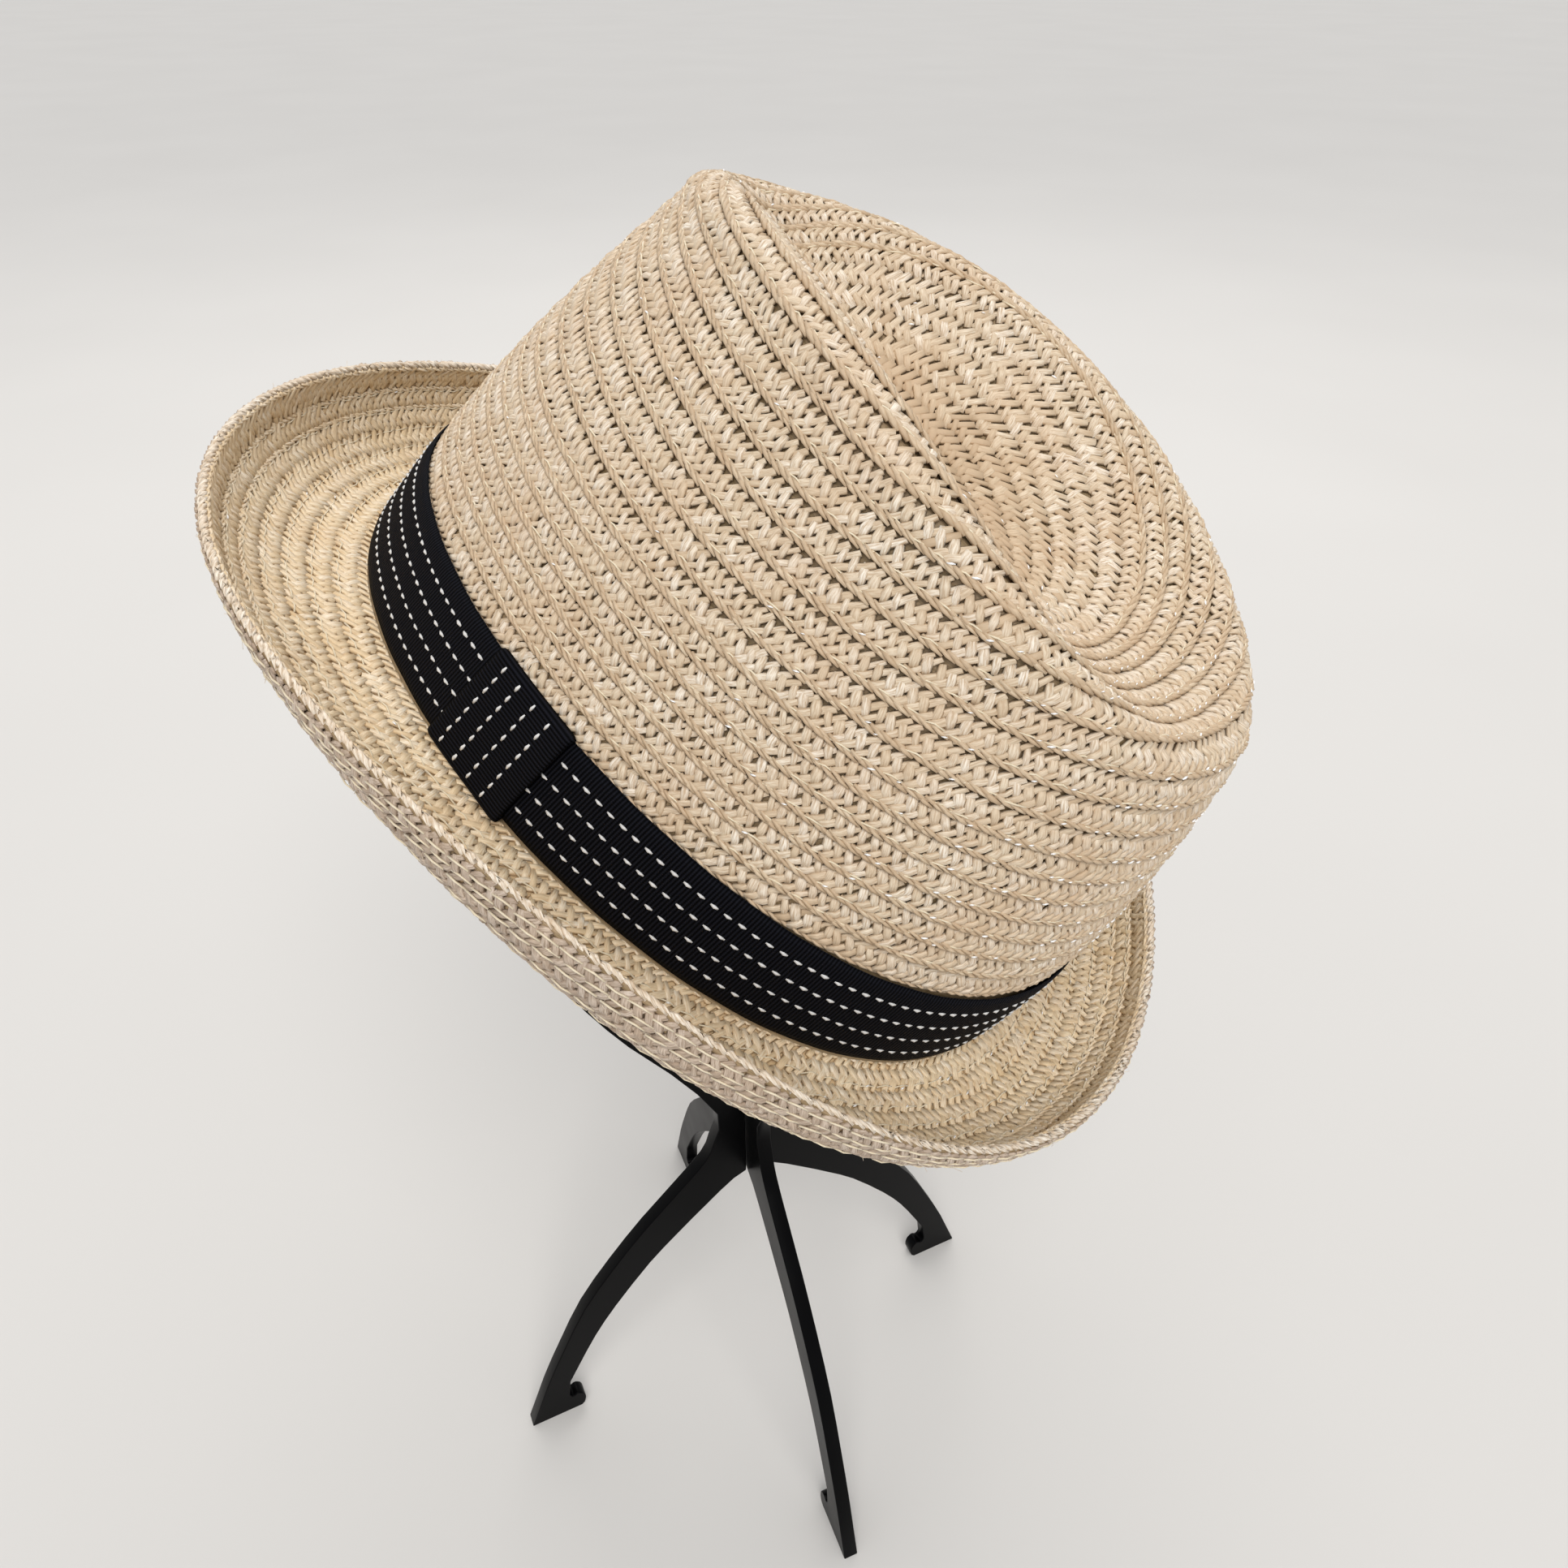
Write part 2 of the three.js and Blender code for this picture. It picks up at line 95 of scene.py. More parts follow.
# %% Sizes of the hat, in millimetres
HEAD = {"length": 200, "width": 166, "taper": -0.015, "pinch": 0.0, "shift": 0.0}
RIDGE = {"length": 162, "width": 101, "taper": 0.144, "pinch": -0.056, "shift": -13.6}
HEADLINE_TIP = -1.0
HEADLINE_SADDLE = -6.0
RIDGE_ROLL = 7.0
CROWN_HEIGHTS = (99.8, 105.8, 85.2)  # in front, at the sides, at the back
CROWN_SKEW = -1.0
CROWN_BULGE = 4.1
DENT_FRONT, DENT_BACK = 12, -27
DENT_FLOOR, DENT_FLOOR_RISE = 78.5, 2.0
DENT_ROLLS = [math.radians(a) for a in (118, 128, 100)]
DENT_FULLNESS = 0.9
STRAW_WALL = 2.0
BRIM_RUNS = (44.7, 42.1, 37.7)
BRIM_START = (-0.361, -0.078, -0.177)
BRIM_END = (1.598, -0.04, 0.19, 0.28)
BRIM_CURL = 1.363
BRIM_DROP = 1.4
BAND_WIDTH = 25.2
GAP = 0.3
CROWN_FOOT = -(BRIM_DROP - GAP)
print("head opening", HEAD["length"], "by", HEAD["width"], "mm, ribbon", BAND_WIDTH, "mm wide")


# %% The formulas
def waves(t, terms):
    """Sum of a constant and of cosines of t, 2t and 3t."""
    return sum(a * np.cos(i * t) for i, a in enumerate(terms))


def front_side_back(t, values):
    """The wave that has these values at the front, at the sides and at the back."""
    front, side, back = values
    ends = (front + back) / 2
    return waves(t, ((ends + side) / 2, (front - back) / 2, (ends - side) / 2))


def unit(vectors):
    """The same directions with a length of 1."""
    return vectors / np.linalg.norm(vectors, axis=-1, keepdims=True)


def oval(t, size):
    """Points of an oval and the outward normals in its plane."""
    def place(a):
        pull = 1 - size["taper"] * np.cos(a) - size["pinch"] * np.cos(2 * a)
        x = size["shift"] + size["length"] / 2 * np.cos(a)
        return np.stack([x, size["width"] / 2 * np.sin(a) * pull, 0 * a], -1)
    step = 1e-4
    along = place(t + step) - place(t - step)
    out = np.stack([along[..., 1], -along[..., 0], 0 * t], -1)
    return place(t), unit(out)


def raised(points, height):
    """The same points with another height."""
    return np.concatenate([points[..., :2], np.asarray(height)[..., None]], -1)


def headline_height(t):
    """Height of the head opening's edge, which dips at the temples."""
    return waves(t, (0, HEADLINE_TIP, HEADLINE_SADDLE))


def crown_height(t):
    """Height of the ridge over the head opening."""
    level = front_side_back(t, CROWN_HEIGHTS)
    return level + CROWN_SKEW * (np.cos(3 * t) - np.cos(t))


def crown_side(t, z):
    """Outer side of the crown at height z over the head opening."""
    foot, out = oval(t, HEAD)
    share = (z / crown_height(t))[..., None]
    point = foot + (oval(t, RIDGE)[0] - foot) * share + out * CROWN_BULGE * 4 * share * (1 - share)
    return raised(point, z + headline_height(t) * (1 - share[..., 0]))


def crown_top(t, run):
    """Roll and dent: run goes from 0 at the top of the side over 1 at the roll's end to 2."""
    out = oval(t, RIDGE)[1]
    up = np.array([0, 0, 1.0])
    centre = crown_side(t, crown_height(t) - RIDGE_ROLL) - RIDGE_ROLL * out
    turn = front_side_back(t, DENT_ROLLS)

    def on_roll(angle):
        angle = angle[..., None]
        return centre + RIDGE_ROLL * (np.cos(angle) * out + np.sin(angle) * up)

    start = on_roll(turn)
    ahead = (1 + np.cos(t)) / 2
    valley_x = DENT_BACK + (DENT_FRONT - DENT_BACK) * ahead
    end = np.stack([valley_x, 0 * t, DENT_FLOOR + DENT_FLOOR_RISE * ahead], -1)
    reach = np.linalg.norm(end - start, axis=-1, keepdims=True) * DENT_FULLNESS
    leave = np.cos(turn)[..., None] * up - np.sin(turn)[..., None] * out
    arrive = unit(raised(end - start, 0 * t))
    s = np.clip(run - 1, 0, 1)[..., None]
    wall = start * (2 * s**3 - 3 * s**2 + 1) + leave * (s**3 - 2 * s**2 + s) * reach
    wall = wall + end * (3 * s**2 - 2 * s**3) + arrive * (s**3 - s**2) * reach
    return np.where((run <= 1)[..., None], on_roll(turn * np.minimum(run, 1)), wall)


def crown_outside(t, up):
    """Whole outer sheet: up is 0 at the foot, 1 at the top of the side and 3 in the valley."""
    top = crown_height(t) - RIDGE_ROLL
    side = crown_side(t, CROWN_FOOT + (top - CROWN_FOOT) * np.minimum(up, 1))
    return np.where((up <= 1)[..., None], side, crown_top(t, np.maximum(up - 1, 0)))


def brim_upside(t, across):
    """Upper sheet of the brim: across is 0 at the crown and 1 at the rim."""
    foot, normal = oval(t, HEAD)
    run = front_side_back(t, BRIM_RUNS)
    start = waves(t, BRIM_START)
    end = waves(t, BRIM_END)
    steps = 40
    out = 0 * t
    up = 0 * t
    for i in range(steps):
        slope = start + (end - start) * ((i + 0.5) / steps * across) ** BRIM_CURL
        out = out + np.cos(slope) * run * across / steps
        up = up + np.sin(slope) * run * across / steps
    slope = start + (end - start) * across**BRIM_CURL
    inset = STRAW_WALL * np.sin(across * math.pi / 2)
    out = out - np.sin(slope) * inset
    up = up + np.cos(slope) * inset - BRIM_DROP * (1 - across) ** 2
    return raised(foot + normal * out[..., None], headline_height(t) + up)


print("crown height over the ear:", round(float(crown_height(np.array(math.pi / 2))), 1), "mm")

# %% [markdown]
# ## Where the hat sits
# The hat is tilted on the stand: its front points along +Y, its nose is up and it leans to one
# side. The turn is three named angles. The place comes from the frame: the stand's axis is the
# middle of its wide blade, and the hat is lifted until its top is as high as the CAD crown's.

# %% Place of the hat
HAT_TURN, HAT_NOSE_UP, HAT_ROLL = [math.radians(a) for a in (104.4, 23.36, 17.27)]
HAT_SHIFT = (3.0, 17.8)

hat_axes = np.array(Euler((HAT_ROLL, -HAT_NOSE_UP, HAT_TURN), "XYZ").to_matrix())
blade_low, blade_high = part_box("stand_blade_wide")
stand_axis = (np.array(blade_low) + np.array(blade_high))[:2] / 2 / MM
all_over = np.meshgrid(np.linspace(0, 2 * math.pi, 361), np.linspace(0, 3, 301), indexing="ij")
turned_top = (crown_outside(*all_over) @ hat_axes.T)[..., 2].max()
hat_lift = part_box("crown")[1].z / MM - turned_top
hat_origin = np.array([stand_axis[0] + HAT_SHIFT[0], stand_axis[1] + HAT_SHIFT[1], hat_lift])


def to_frame(points):
    """From the hat's own millimetres to metres in the shared frame."""
    return (points @ hat_axes.T + hat_origin) * MM


print("hat origin in the frame:", hat_origin.round(2), "mm")

# %% [markdown]
# ## Charts of the rows
# The braid is one long plait, sewn round and round. On the surface it makes rows, and a place on
# it is easiest to name by its angle round the head and by its row. A chart is a table that turns
# such a place into a point and a normal. It is filled once from the formulas above, and looking
# things up in it is then only a weighted mean of four neighbours.

# %% Chart helpers
CHART_COLUMNS = 720
STEPS_PER_ROW = 12
angles = np.linspace(0, 2 * math.pi, CHART_COLUMNS + 1)


def chart(name, points, first, last):
    """A table of points over angle and row, with its outward normals.

    first is the row that the table starts with, and strands end at row last."""
    wrapped = np.concatenate([points[-2:-1], points, points[1:2]])
    round_way = wrapped[2:] - wrapped[:-2]
    row_way = np.gradient(points, axis=1) * STEPS_PER_ROW
    normal = np.cross(round_way, row_way)
    normal /= np.linalg.norm(normal, axis=-1, keepdims=True) + 1e-12
    print(name, "chart:", points.shape[1] // STEPS_PER_ROW, "rows")
    return dict(points=points, normal=normal, row_way=row_way, first=first, last=last, hand=1)


def look_up(table, angle, row):
    """Weighted mean of the four entries of a table round a place."""
    across = np.mod(angle / (2 * math.pi), 1) * CHART_COLUMNS
    along = np.clip(row * STEPS_PER_ROW, 0, table.shape[1] - 1.001)
    i, j = across.astype(int), along.astype(int)
    a, b = (across - i)[..., None], (along - j)[..., None]
    low = table[i, j] * (1 - a) + table[i + 1, j] * a
    high = table[i, j + 1] * (1 - a) + table[i + 1, j + 1] * a
    return low * (1 - b) + high * b


def on_chart(a_chart, angle, row, height):
    """Points at a height over the chart's surface, going straight on past its last row."""
    row = row - a_chart["first"]
    beyond = row - np.clip(row, 0, (a_chart["points"].shape[1] - 1) / STEPS_PER_ROW)
    point = look_up(a_chart["points"], angle, row)
    point = point + look_up(a_chart["row_way"], angle, row) * beyond[..., None]
    return point + look_up(a_chart["normal"], angle, row) * height[..., None]


print("a chart has", CHART_COLUMNS, "columns round the head and", STEPS_PER_ROW, "steps in a row")

# %% [markdown]
# The crown has 30 rows: five behind the ribbon, fifteen from the ribbon to the ridge and ten down
# into the dent. They aren't all as wide as each other, because the plait was stretched over the
# block, so for some rows it is given how far up from the ribbon's edge they start.

# %% Crown chart
ROWS_BEHIND_BAND = 5
CROWN_ROWS = 25
CROWN_SAMPLES = 1201
ROW_STARTS = {  # millimetres in front, at the sides and at the back
    0: (5.5, 4.6, 7.0),
    6: (42.0, 31.8, 41.0),
    10: (76.0, 55.2, 67.0),
    14: (92.0, 79.7, 87.0),
}


def walked_along(line):
    """The way along a line from its start to each of its points."""
    return np.concatenate([[0], np.linalg.norm(np.diff(line, axis=0), axis=-1).cumsum()])


def along_line(way, marks, line):
    """Points part of the way along a line, where marks holds the way to each of its points."""
    return np.stack([np.interp(way, marks, line[:, i]) for i in range(line.shape[1])], -1)


def crown_points():
    """Points of the crown over the angles and rows of its chart."""
    t, up = np.meshgrid(angles, np.linspace(0, 3, CROWN_SAMPLES), indexing="ij")
    sheet = crown_outside(t, up)
    band_top = (BAND_WIDTH - CROWN_FOOT) / (crown_height(angles) - RIDGE_ROLL - CROWN_FOOT)
    rows = np.arange((ROWS_BEHIND_BAND + CROWN_ROWS) * STEPS_PER_ROW + 1) / STEPS_PER_ROW
    knots = [0] + [ROWS_BEHIND_BAND + row for row in (*ROW_STARTS, CROWN_ROWS)]
    starts = [front_side_back(angles, values) for values in ROW_STARTS.values()]
    points = []
    for i in range(len(angles)):
        walked = walked_along(sheet[i])
        edge = np.interp(band_top[i], up[i], walked)
        heights = [0] + [edge + start[i] for start in starts] + [walked[-1]]
        way = np.interp(np.interp(rows, knots, heights), walked, up[i])
        points.append(along_line(way, up[i], sheet[i]))
    return np.array(points)


crown_chart = chart("crown", crown_points(), -ROWS_BEHIND_BAND, CROWN_ROWS - 0.02)

# %% [markdown]
# The brim's upper side is counted from the rim inwards, because there each row's outer edge lies
# over the next row. The underside is the same sheet one wall lower, counted outwards. The half
# row at the crown and the last one at the rim aren't as wide as the six between them, and two
# distances from the crown say where those begin and end.

# %% Brim charts
BRIM_ROWS = 7
INNERMOST_MM = 2.6
OUTERMOST_MM = 34.8

brim_rows = np.arange((BRIM_ROWS + 0.5) * STEPS_PER_ROW + 1) / STEPS_PER_ROW
brim_knots = (0, 0.5, BRIM_ROWS - 0.5, BRIM_ROWS + 0.5)
brim_shares = (0, INNERMOST_MM / BRIM_RUNS[1], OUTERMOST_MM / BRIM_RUNS[1], 1)
brim_steps = np.interp(brim_rows, brim_knots, brim_shares)
brim_points = brim_upside(*np.meshgrid(angles, brim_steps, indexing="ij"))
brim_chart = chart("brim", brim_points[:, ::-1], 0, BRIM_ROWS + 0.4)
under_points = brim_points - brim_chart["normal"][:, ::-1] * STRAW_WALL
under_chart = chart("underside", under_points, -0.5, BRIM_ROWS)
past_rim_chart = dict(under_chart, last=BRIM_ROWS + 1)

# %% [markdown]
# ## Materials
# Blender's Principled shader covers all of these finishes. What makes each one believable is the
# pattern that drives it, at its real scale. Colours are given as the hex values that one would
# read from a picture, and one function turns them to the linear values that light works with.
# Nodes could be placed by hand in the editor. Here a second function adds one node with its
# settings and its links in a single call, so a material reads like a list from top to bottom.

# %% Helpers for materials
def linear(hex_colour, alpha=1.0):
    """An sRGB hex colour as linear red, green, blue and alpha."""
    parts = [int(hex_colour[i:i + 2], 16) / 255 for i in (1, 3, 5)]
    return [p / 12.92 if p <= 0.04045 else ((p + 0.055) / 1.055) ** 2.4 for p in parts] + [alpha]


def add_node(material, kind, settings=None, links=None):
    """Adds a node, sets its properties or sockets by name, and links sockets to its inputs."""
    tree = material.node_tree
    node = tree.nodes.new(kind)
    for name, value in (settings or {}).items():
        if isinstance(name, str) and hasattr(node, name):
            setattr(node, name, value)
        else:
            node.inputs[name].default_value = value
    for name, source in (links or {}).items():
        tree.links.new(source, node.inputs[name])
    return node


def new_material(name):
    """An empty material with nodes."""
    material = bpy.data.materials.new(name)
    material.use_nodes = True
    material.node_tree.nodes.clear()
    return material


# %% [markdown]
# ### Paper straw
# The plait is twisted paper cut in narrow strips, a washed cream with a dry, slightly waxy face.
# Each strip has its own tone, so every strand carries a number called tone. Along a strip run
# fine creases about 0.3 mm apart. They are drawn on the strand's own UV map, which is in
# millimetres, and give both a faint streak in the colour, darker in the creases as painted shade,
# and a little relief. Patches about 14 mm wide are tinted, as where the dye has taken unevenly.
# The brim's straw is painted lighter and a little yellower, a painted light for the brim. That of
# the underside is painted greyer and darker, a painted shade for the side that faces down, and the
# core under the crown's strands is a darker brown, a painted shade for the strands below them.

# %% Straw materials
CREASES_PER_MM = (0.45, 3.2, 1)
PATCH_MM = 14
TONE_STOPS = (0.0, 0.3, 0.65, 1.0)


def straw_material(name, crease_shade, tones, stops=TONE_STOPS, tint="#d8ba99", relief_mm=0.12):
    """Paper straw: a tone for each strip, creases along it with painted shade in them, and tinted
    patches.
    """
    material = new_material(name)
    tone = add_node(material, "ShaderNodeAttribute", {"attribute_name": "tone"})
    ramp = add_node(material, "ShaderNodeValToRGB", None, {"Fac": tone.outputs["Fac"]})
    elements = ramp.color_ramp.elements
    while len(elements) < len(stops):
        elements.new(0.5)
    for element, stop, hex_colour in zip(elements, stops, tones):
        element.position = stop
        element.color = linear(hex_colour)
    flat = add_node(material, "ShaderNodeUVMap", {"uv_map": "strand"})
    along = add_node(material, "ShaderNodeMapping", {"Scale": CREASES_PER_MM},
                     {"Vector": flat.outputs["UV"]})
    crease = add_node(material, "ShaderNodeTexNoise",
                      {"Scale": 1.0, "Detail": 3.0, "Roughness": 0.6},
                      {"Vector": along.outputs["Vector"]})
    place = add_node(material, "ShaderNodeTexCoord")
    patch = add_node(material, "ShaderNodeTexNoise",
                     {"Scale": 1.0 / (PATCH_MM * MM), "Detail": 2.0},
                     {"Vector": place.outputs["Object"]})
    spread = add_node(material, "ShaderNodeMapRange",
                      {"From Min": 0.4, "From Max": 0.68, "To Min": 0.0, "To Max": 0.4},
                      {"Value": patch.outputs["Fac"]})
    tinted = add_node(material, "ShaderNodeMix", {"data_type": "RGBA", 7: linear(tint)},
                      {0: spread.outputs["Result"], 6: ramp.outputs["Color"]})
    # Where the creases' noise is low the colour goes to crease_shade: painted shade in the creases.
    streak = add_node(material, "ShaderNodeMapRange",
                      {"From Min": 0.35, "From Max": 0.62, "To Min": 0.0, "To Max": 1.0},
                      {"Value": crease.outputs["Fac"]})
    colour = add_node(material, "ShaderNodeMix", {"data_type": "RGBA", 6: linear(crease_shade)},
                      {0: streak.outputs["Result"], 7: tinted.outputs[2]})
    bump = add_node(material, "ShaderNodeBump", {"Strength": 0.55, "Distance": relief_mm * MM},
                    {"Height": crease.outputs["Fac"]})
    shader = add_node(material, "ShaderNodeBsdfPrincipled", {"Roughness": 0.52, "IOR": 1.45},
                      {"Base Color": colour.outputs[2], "Normal": bump.outputs["Normal"]})
    add_node(material, "ShaderNodeOutputMaterial", None, {"Surface": shader.outputs["BSDF"]})
    return material


paper_straw = straw_material(
    "paper_straw", "#c4ab8d", ("#c2a98a", "#d9c6aa", "#e7d8c0", "#f8efe0"))
# A lighter, yellower copy of the straw: painted light for the brim.
brim_straw_painted_light = straw_material(
    "paper_straw_brim_painted_light", "#d6ba93", ("#dabd92", "#ecd6b1", "#f5e4c6", "#fbf0dc"), tint="#e2c298")
# A dark brown straw for the core under the strands: painted shade for the strands below them.
straw_core_painted_shade = straw_material(
    "paper_straw_core_painted_shade", "#84704f", ("#9a8262", "#ae9570"), (0.0, 1.0), relief_mm=0.1)
# A greyer, darker copy of the straw for the brim's underside: painted shade.
shaded_straw = straw_material(
    "paper_straw_shaded_side", "#9f8a76", ("#a08b79", "#b7a492", "#c9b8a7", "#dccdbe"))
print("creases", round(1 / CREASES_PER_MM[1], 2), "mm apart, patches of", PATCH_MM, "mm")

# %% [markdown]
# ### Sewing thread
# The rows are sewn with a fine pale cotton thread that has a faint sheen, and the ribbon with a
# white one. A thread's twist is darker in its grooves, a painted shade that noise of 0.6 mm
# stands for. Here and there a clear nylon filament shows among the straw. It could be glass-like,
# but at a few tenths of a millimetre only its glint is seen, so it is painted white with a hard
# coat: a painted glint.

# %% Thread materials
TWIST_MM = 0.6


def thread_material(name, colour, shade, roughness):
    """Thread: one colour, a little darker in its twist as painted shade."""
    material = new_material(name)
    place = add_node(material, "ShaderNodeTexCoord")
    twist = add_node(material, "ShaderNodeTexNoise",
                     {"Scale": 1.0 / (TWIST_MM * MM), "Detail": 2.0},
                     {"Vector": place.outputs["Object"]})
    # The shade colour in the noise is painted shade for the twist's grooves.
    mixed = add_node(material, "ShaderNodeMix",
                     {"data_type": "RGBA", 6: linear(shade), 7: linear(colour)},
                     {0: twist.outputs["Fac"]})
    shader = add_node(material, "ShaderNodeBsdfPrincipled",
                      {"Roughness": roughness, "Sheen Weight": 0.2},
                      {"Base Color": mixed.outputs[2]})
    add_node(material, "ShaderNodeOutputMaterial", None, {"Surface": shader.outputs["BSDF"]})
    return material


sewing_thread = thread_material("cotton_sewing_thread", "#f4e9d2", "#d9c7a4", 0.45)
white_stitch = thread_material("white_stitch_thread", "#efeeec", "#c8c8c7", 0.5)
# The filament is painted white with a hard coat: a painted glint.
nylon_painted_glint = new_material("nylon_filament_painted_glint")
filament = add_node(nylon_painted_glint, "ShaderNodeBsdfPrincipled",
                    {"Base Color": linear("#ffffff"), "Roughness": 0.1, "IOR": 1.53,
                     "Coat Weight": 1.0})
add_node(nylon_painted_glint, "ShaderNodeOutputMaterial", None, {"Surface": filament.outputs["BSDF"]})
print("threads:", sewing_thread.name, white_stitch.name, nylon_painted_glint.name)

# %% [markdown]
# ## The plait
# The plait is a flat one of five strands. A strand runs slantwise over two others, dives under
# the next two, folds back at the edge and returns on the other slant. Seen from above that gives
# two columns of short floats that meet in a row of arrows, and a rope-like edge where the strands
# fold. Each strand is modelled, so the gaps between them are real gaps with real shadows. One
# small bar, a cube that is cut across and rounded, is repeated some ten thousand times, and
# arrays of numbers bend the copies along short paths on the chart.

# %% The strand that is repeated
TOP_SHARE = 0.6


def strand_shape(cuts):
    """A closed bar from -1 to 1 along X, cut across, with its top narrower than its base."""
    bm = bmesh.new()
    bmesh.ops.create_cube(bm, size=2.0)
    lengthwise = [e for e in bm.edges if abs(e.verts[0].co.x - e.verts[1].co.x) > 1]
    if cuts:
        bmesh.ops.subdivide_edges(bm, edges=lengthwise, cuts=cuts)
    top = [v for v in bm.verts if v.co.z > 0]
    bmesh.ops.scale(bm, vec=(1, TOP_SHARE, 1), verts=top)
    corners = np.array([v.co[:] for v in bm.verts])
    faces = np.array([[v.index for v in f.verts] for f in bm.faces])
    bm.free()
    return corners, faces


STRANDS = {places: strand_shape(places - 2) for places in (2, 3, 4, 5)}
print("triangles of a strand:", {k: 2 * len(v[1]) for k, v in STRANDS.items()})

# %% Bending strands along paths
UV_DRIFT = 7.31  # so that no two strands have the same creases


def bent_strands(a_chart, cell, path, half_width, thick, tip, tone, tube=False):
    """Copies of a strand, each along the path through the places of its cell.

    cell holds the angle, row, row pitch and length per radian of each copy. path is an array of
    (copy, place, along-across-height) in millimetres from the cell's corner. tip is the share of
    the width that is left at the ends. A tube's strands wind round it instead of lying flat."""
    count, places = path.shape[:2]
    corners, faces = STRANDS[places]
    station = ((corners[:, 0] + 1) / 2 * (places - 1)).round().astype(int)
    ahead = unit(np.gradient(path, axis=1))
    away = path * np.array([0, 1, 1.0]) if tube else np.broadcast_to([0, 0, 1.0], path.shape)
    beside = unit(np.cross(away, ahead))
    away = np.cross(ahead, beside)
    width = np.broadcast_to(half_width, (count,))[:, None, None]
    height = np.broadcast_to(thick, (count,))[:, None, None] / 2
    narrow = 1 - (1 - tip) * np.abs(corners[:, 0]) ** 2
    centre = path[:, station] + beside[:, station] * (corners[:, 1] * narrow)[None, :, None] * width
    centre = centre + away[:, station] * corners[:, 2][None, :, None] * height
    angle = cell["angle"][:, None] + centre[..., 0] / cell["rate"][:, None]
    row = cell["row"][:, None] + centre[..., 1] / cell["pitch"][:, None]
    points = on_chart(a_chart, angle, np.minimum(row, a_chart["last"]), centre[..., 2])
    length = np.linalg.norm(path[:, -1] - path[:, 0], axis=-1)[:, None]
    drift = np.arange(count)[:, None] * UV_DRIFT
    along = (corners[None, :, 0] + 1) / 2 * length + drift
    uv = np.stack([along, corners[None, :, 1] * width[..., 0] + drift], -1)
    order = faces if a_chart["hand"] > 0 else faces[:, ::-1]
    return {
        "points": points.reshape(-1, 3),
        "faces": (order[None] + np.arange(count)[:, None, None] * len(corners)).reshape(-1, 4),
        "uv": uv.reshape(-1, 2),
        "tone": np.repeat(np.clip(np.broadcast_to(tone, (count,)), 0, 1), len(corners)),
    }


def joined(batches):
    """Several batches of strands as one."""
    whole = {key: np.concatenate([b[key] for b in batches]) for key in ("points", "uv", "tone")}
    starts = np.cumsum([0] + [len(b["points"]) for b in batches[:-1]])
    whole["faces"] = np.concatenate([b["faces"] + start for b, start in zip(batches, starts)])
    return whole


# %% [markdown]
# ### From strands to a piece
# The strands could be thousands of objects or instances, but one mesh for each region is far
# quicker. It becomes a piece of the model once it has a material and rides on a body. There are
# no joints, so the body is root.

# %% From arrays to a piece
def make_piece(name, mesh, material):
    """A mesh as a piece of the model."""
    mesh.materials.append(material)
    piece = in_scene(name, mesh)
    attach(piece, "root")
    print(name, "has", len(mesh.loops) - 2 * len(mesh.polygons), "triangles")
    return piece


def strand_piece(name, batches, material):
    """One piece from batches of strands, with its UV map and its tones."""
    batch = joined(batches)
    mesh = bpy.data.meshes.new(name)
    count = len(batch["faces"])
    mesh.vertices.add(len(batch["points"]))
    mesh.vertices.foreach_set("co", to_frame(batch["points"]).ravel().astype(np.float32))
    mesh.loops.add(count * 4)
    mesh.loops.foreach_set("vertex_index", batch["faces"].ravel().astype(np.int32))
    mesh.polygons.add(count)
    mesh.polygons.foreach_set("loop_start", (np.arange(count) * 4).astype(np.int32))
    mesh.update(calc_edges=True)
    mesh.polygons.foreach_set("use_smooth", np.ones(count, bool))
    uv = mesh.uv_layers.new(name="strand")
    uv.data.foreach_set("uv", batch["uv"][batch["faces"].ravel()].ravel().astype(np.float32))
    tone = mesh.attributes.new("tone", "FLOAT", "POINT")
    tone.data.foreach_set("value", batch["tone"].astype(np.float32))
    return make_piece(name, mesh, material)


# %% [markdown]
# ### Cells along a row
# A row is divided into cells of one strand each, 2.4 mm long. The random numbers come from one
# seeded generator, so each strand is a little different but the hat is the same on every run.

# %% Cells
CELL_LENGTH = 2.4
CELL_SPREAD = 0.1
TURN_OFF, PLACE_OFF, BEND_OFF = 0.11, 0.1, 0.06  # the first a slope, the others millimetres
TURN_ABOUT = 3.0
rng = np.random.default_rng(41)


def row_cells(a_chart, row, length=CELL_LENGTH):
    """The cells of one row, each with its angle, its pitch and its length per radian."""
    middle = on_chart(a_chart, angles, np.full(len(angles), row + 0.5), 0 * angles)
    walked = walked_along(middle)
    count = int(round(walked[-1] / length))
    places = (np.arange(count) + rng.uniform(0, 1)) / count * walked[-1]
    places = places + rng.normal(0, CELL_SPREAD, count)
    angle = np.interp(places, walked, angles)
    rate = np.interp(angle, angles, np.gradient(walked, angles))
    row_way = look_up(a_chart["row_way"], angle, np.full(count, row + 0.4) - a_chart["first"])
    pitch = np.linalg.norm(row_way, axis=-1)
    return {"angle": angle, "row": np.full(count, float(row)), "pitch": pitch, "rate": rate}


def picked(cell, chosen):
    """Only some of the cells."""
    return {key: values[chosen] for key, values in cell.items()}


def paths(count, along, across, up):
    """Paths through places given in millimetres along the row, across it and in height."""
    parts = [np.zeros((count, 1)) + part for part in (along, across, up)]
    return np.stack(np.broadcast_arrays(*parts), -1)


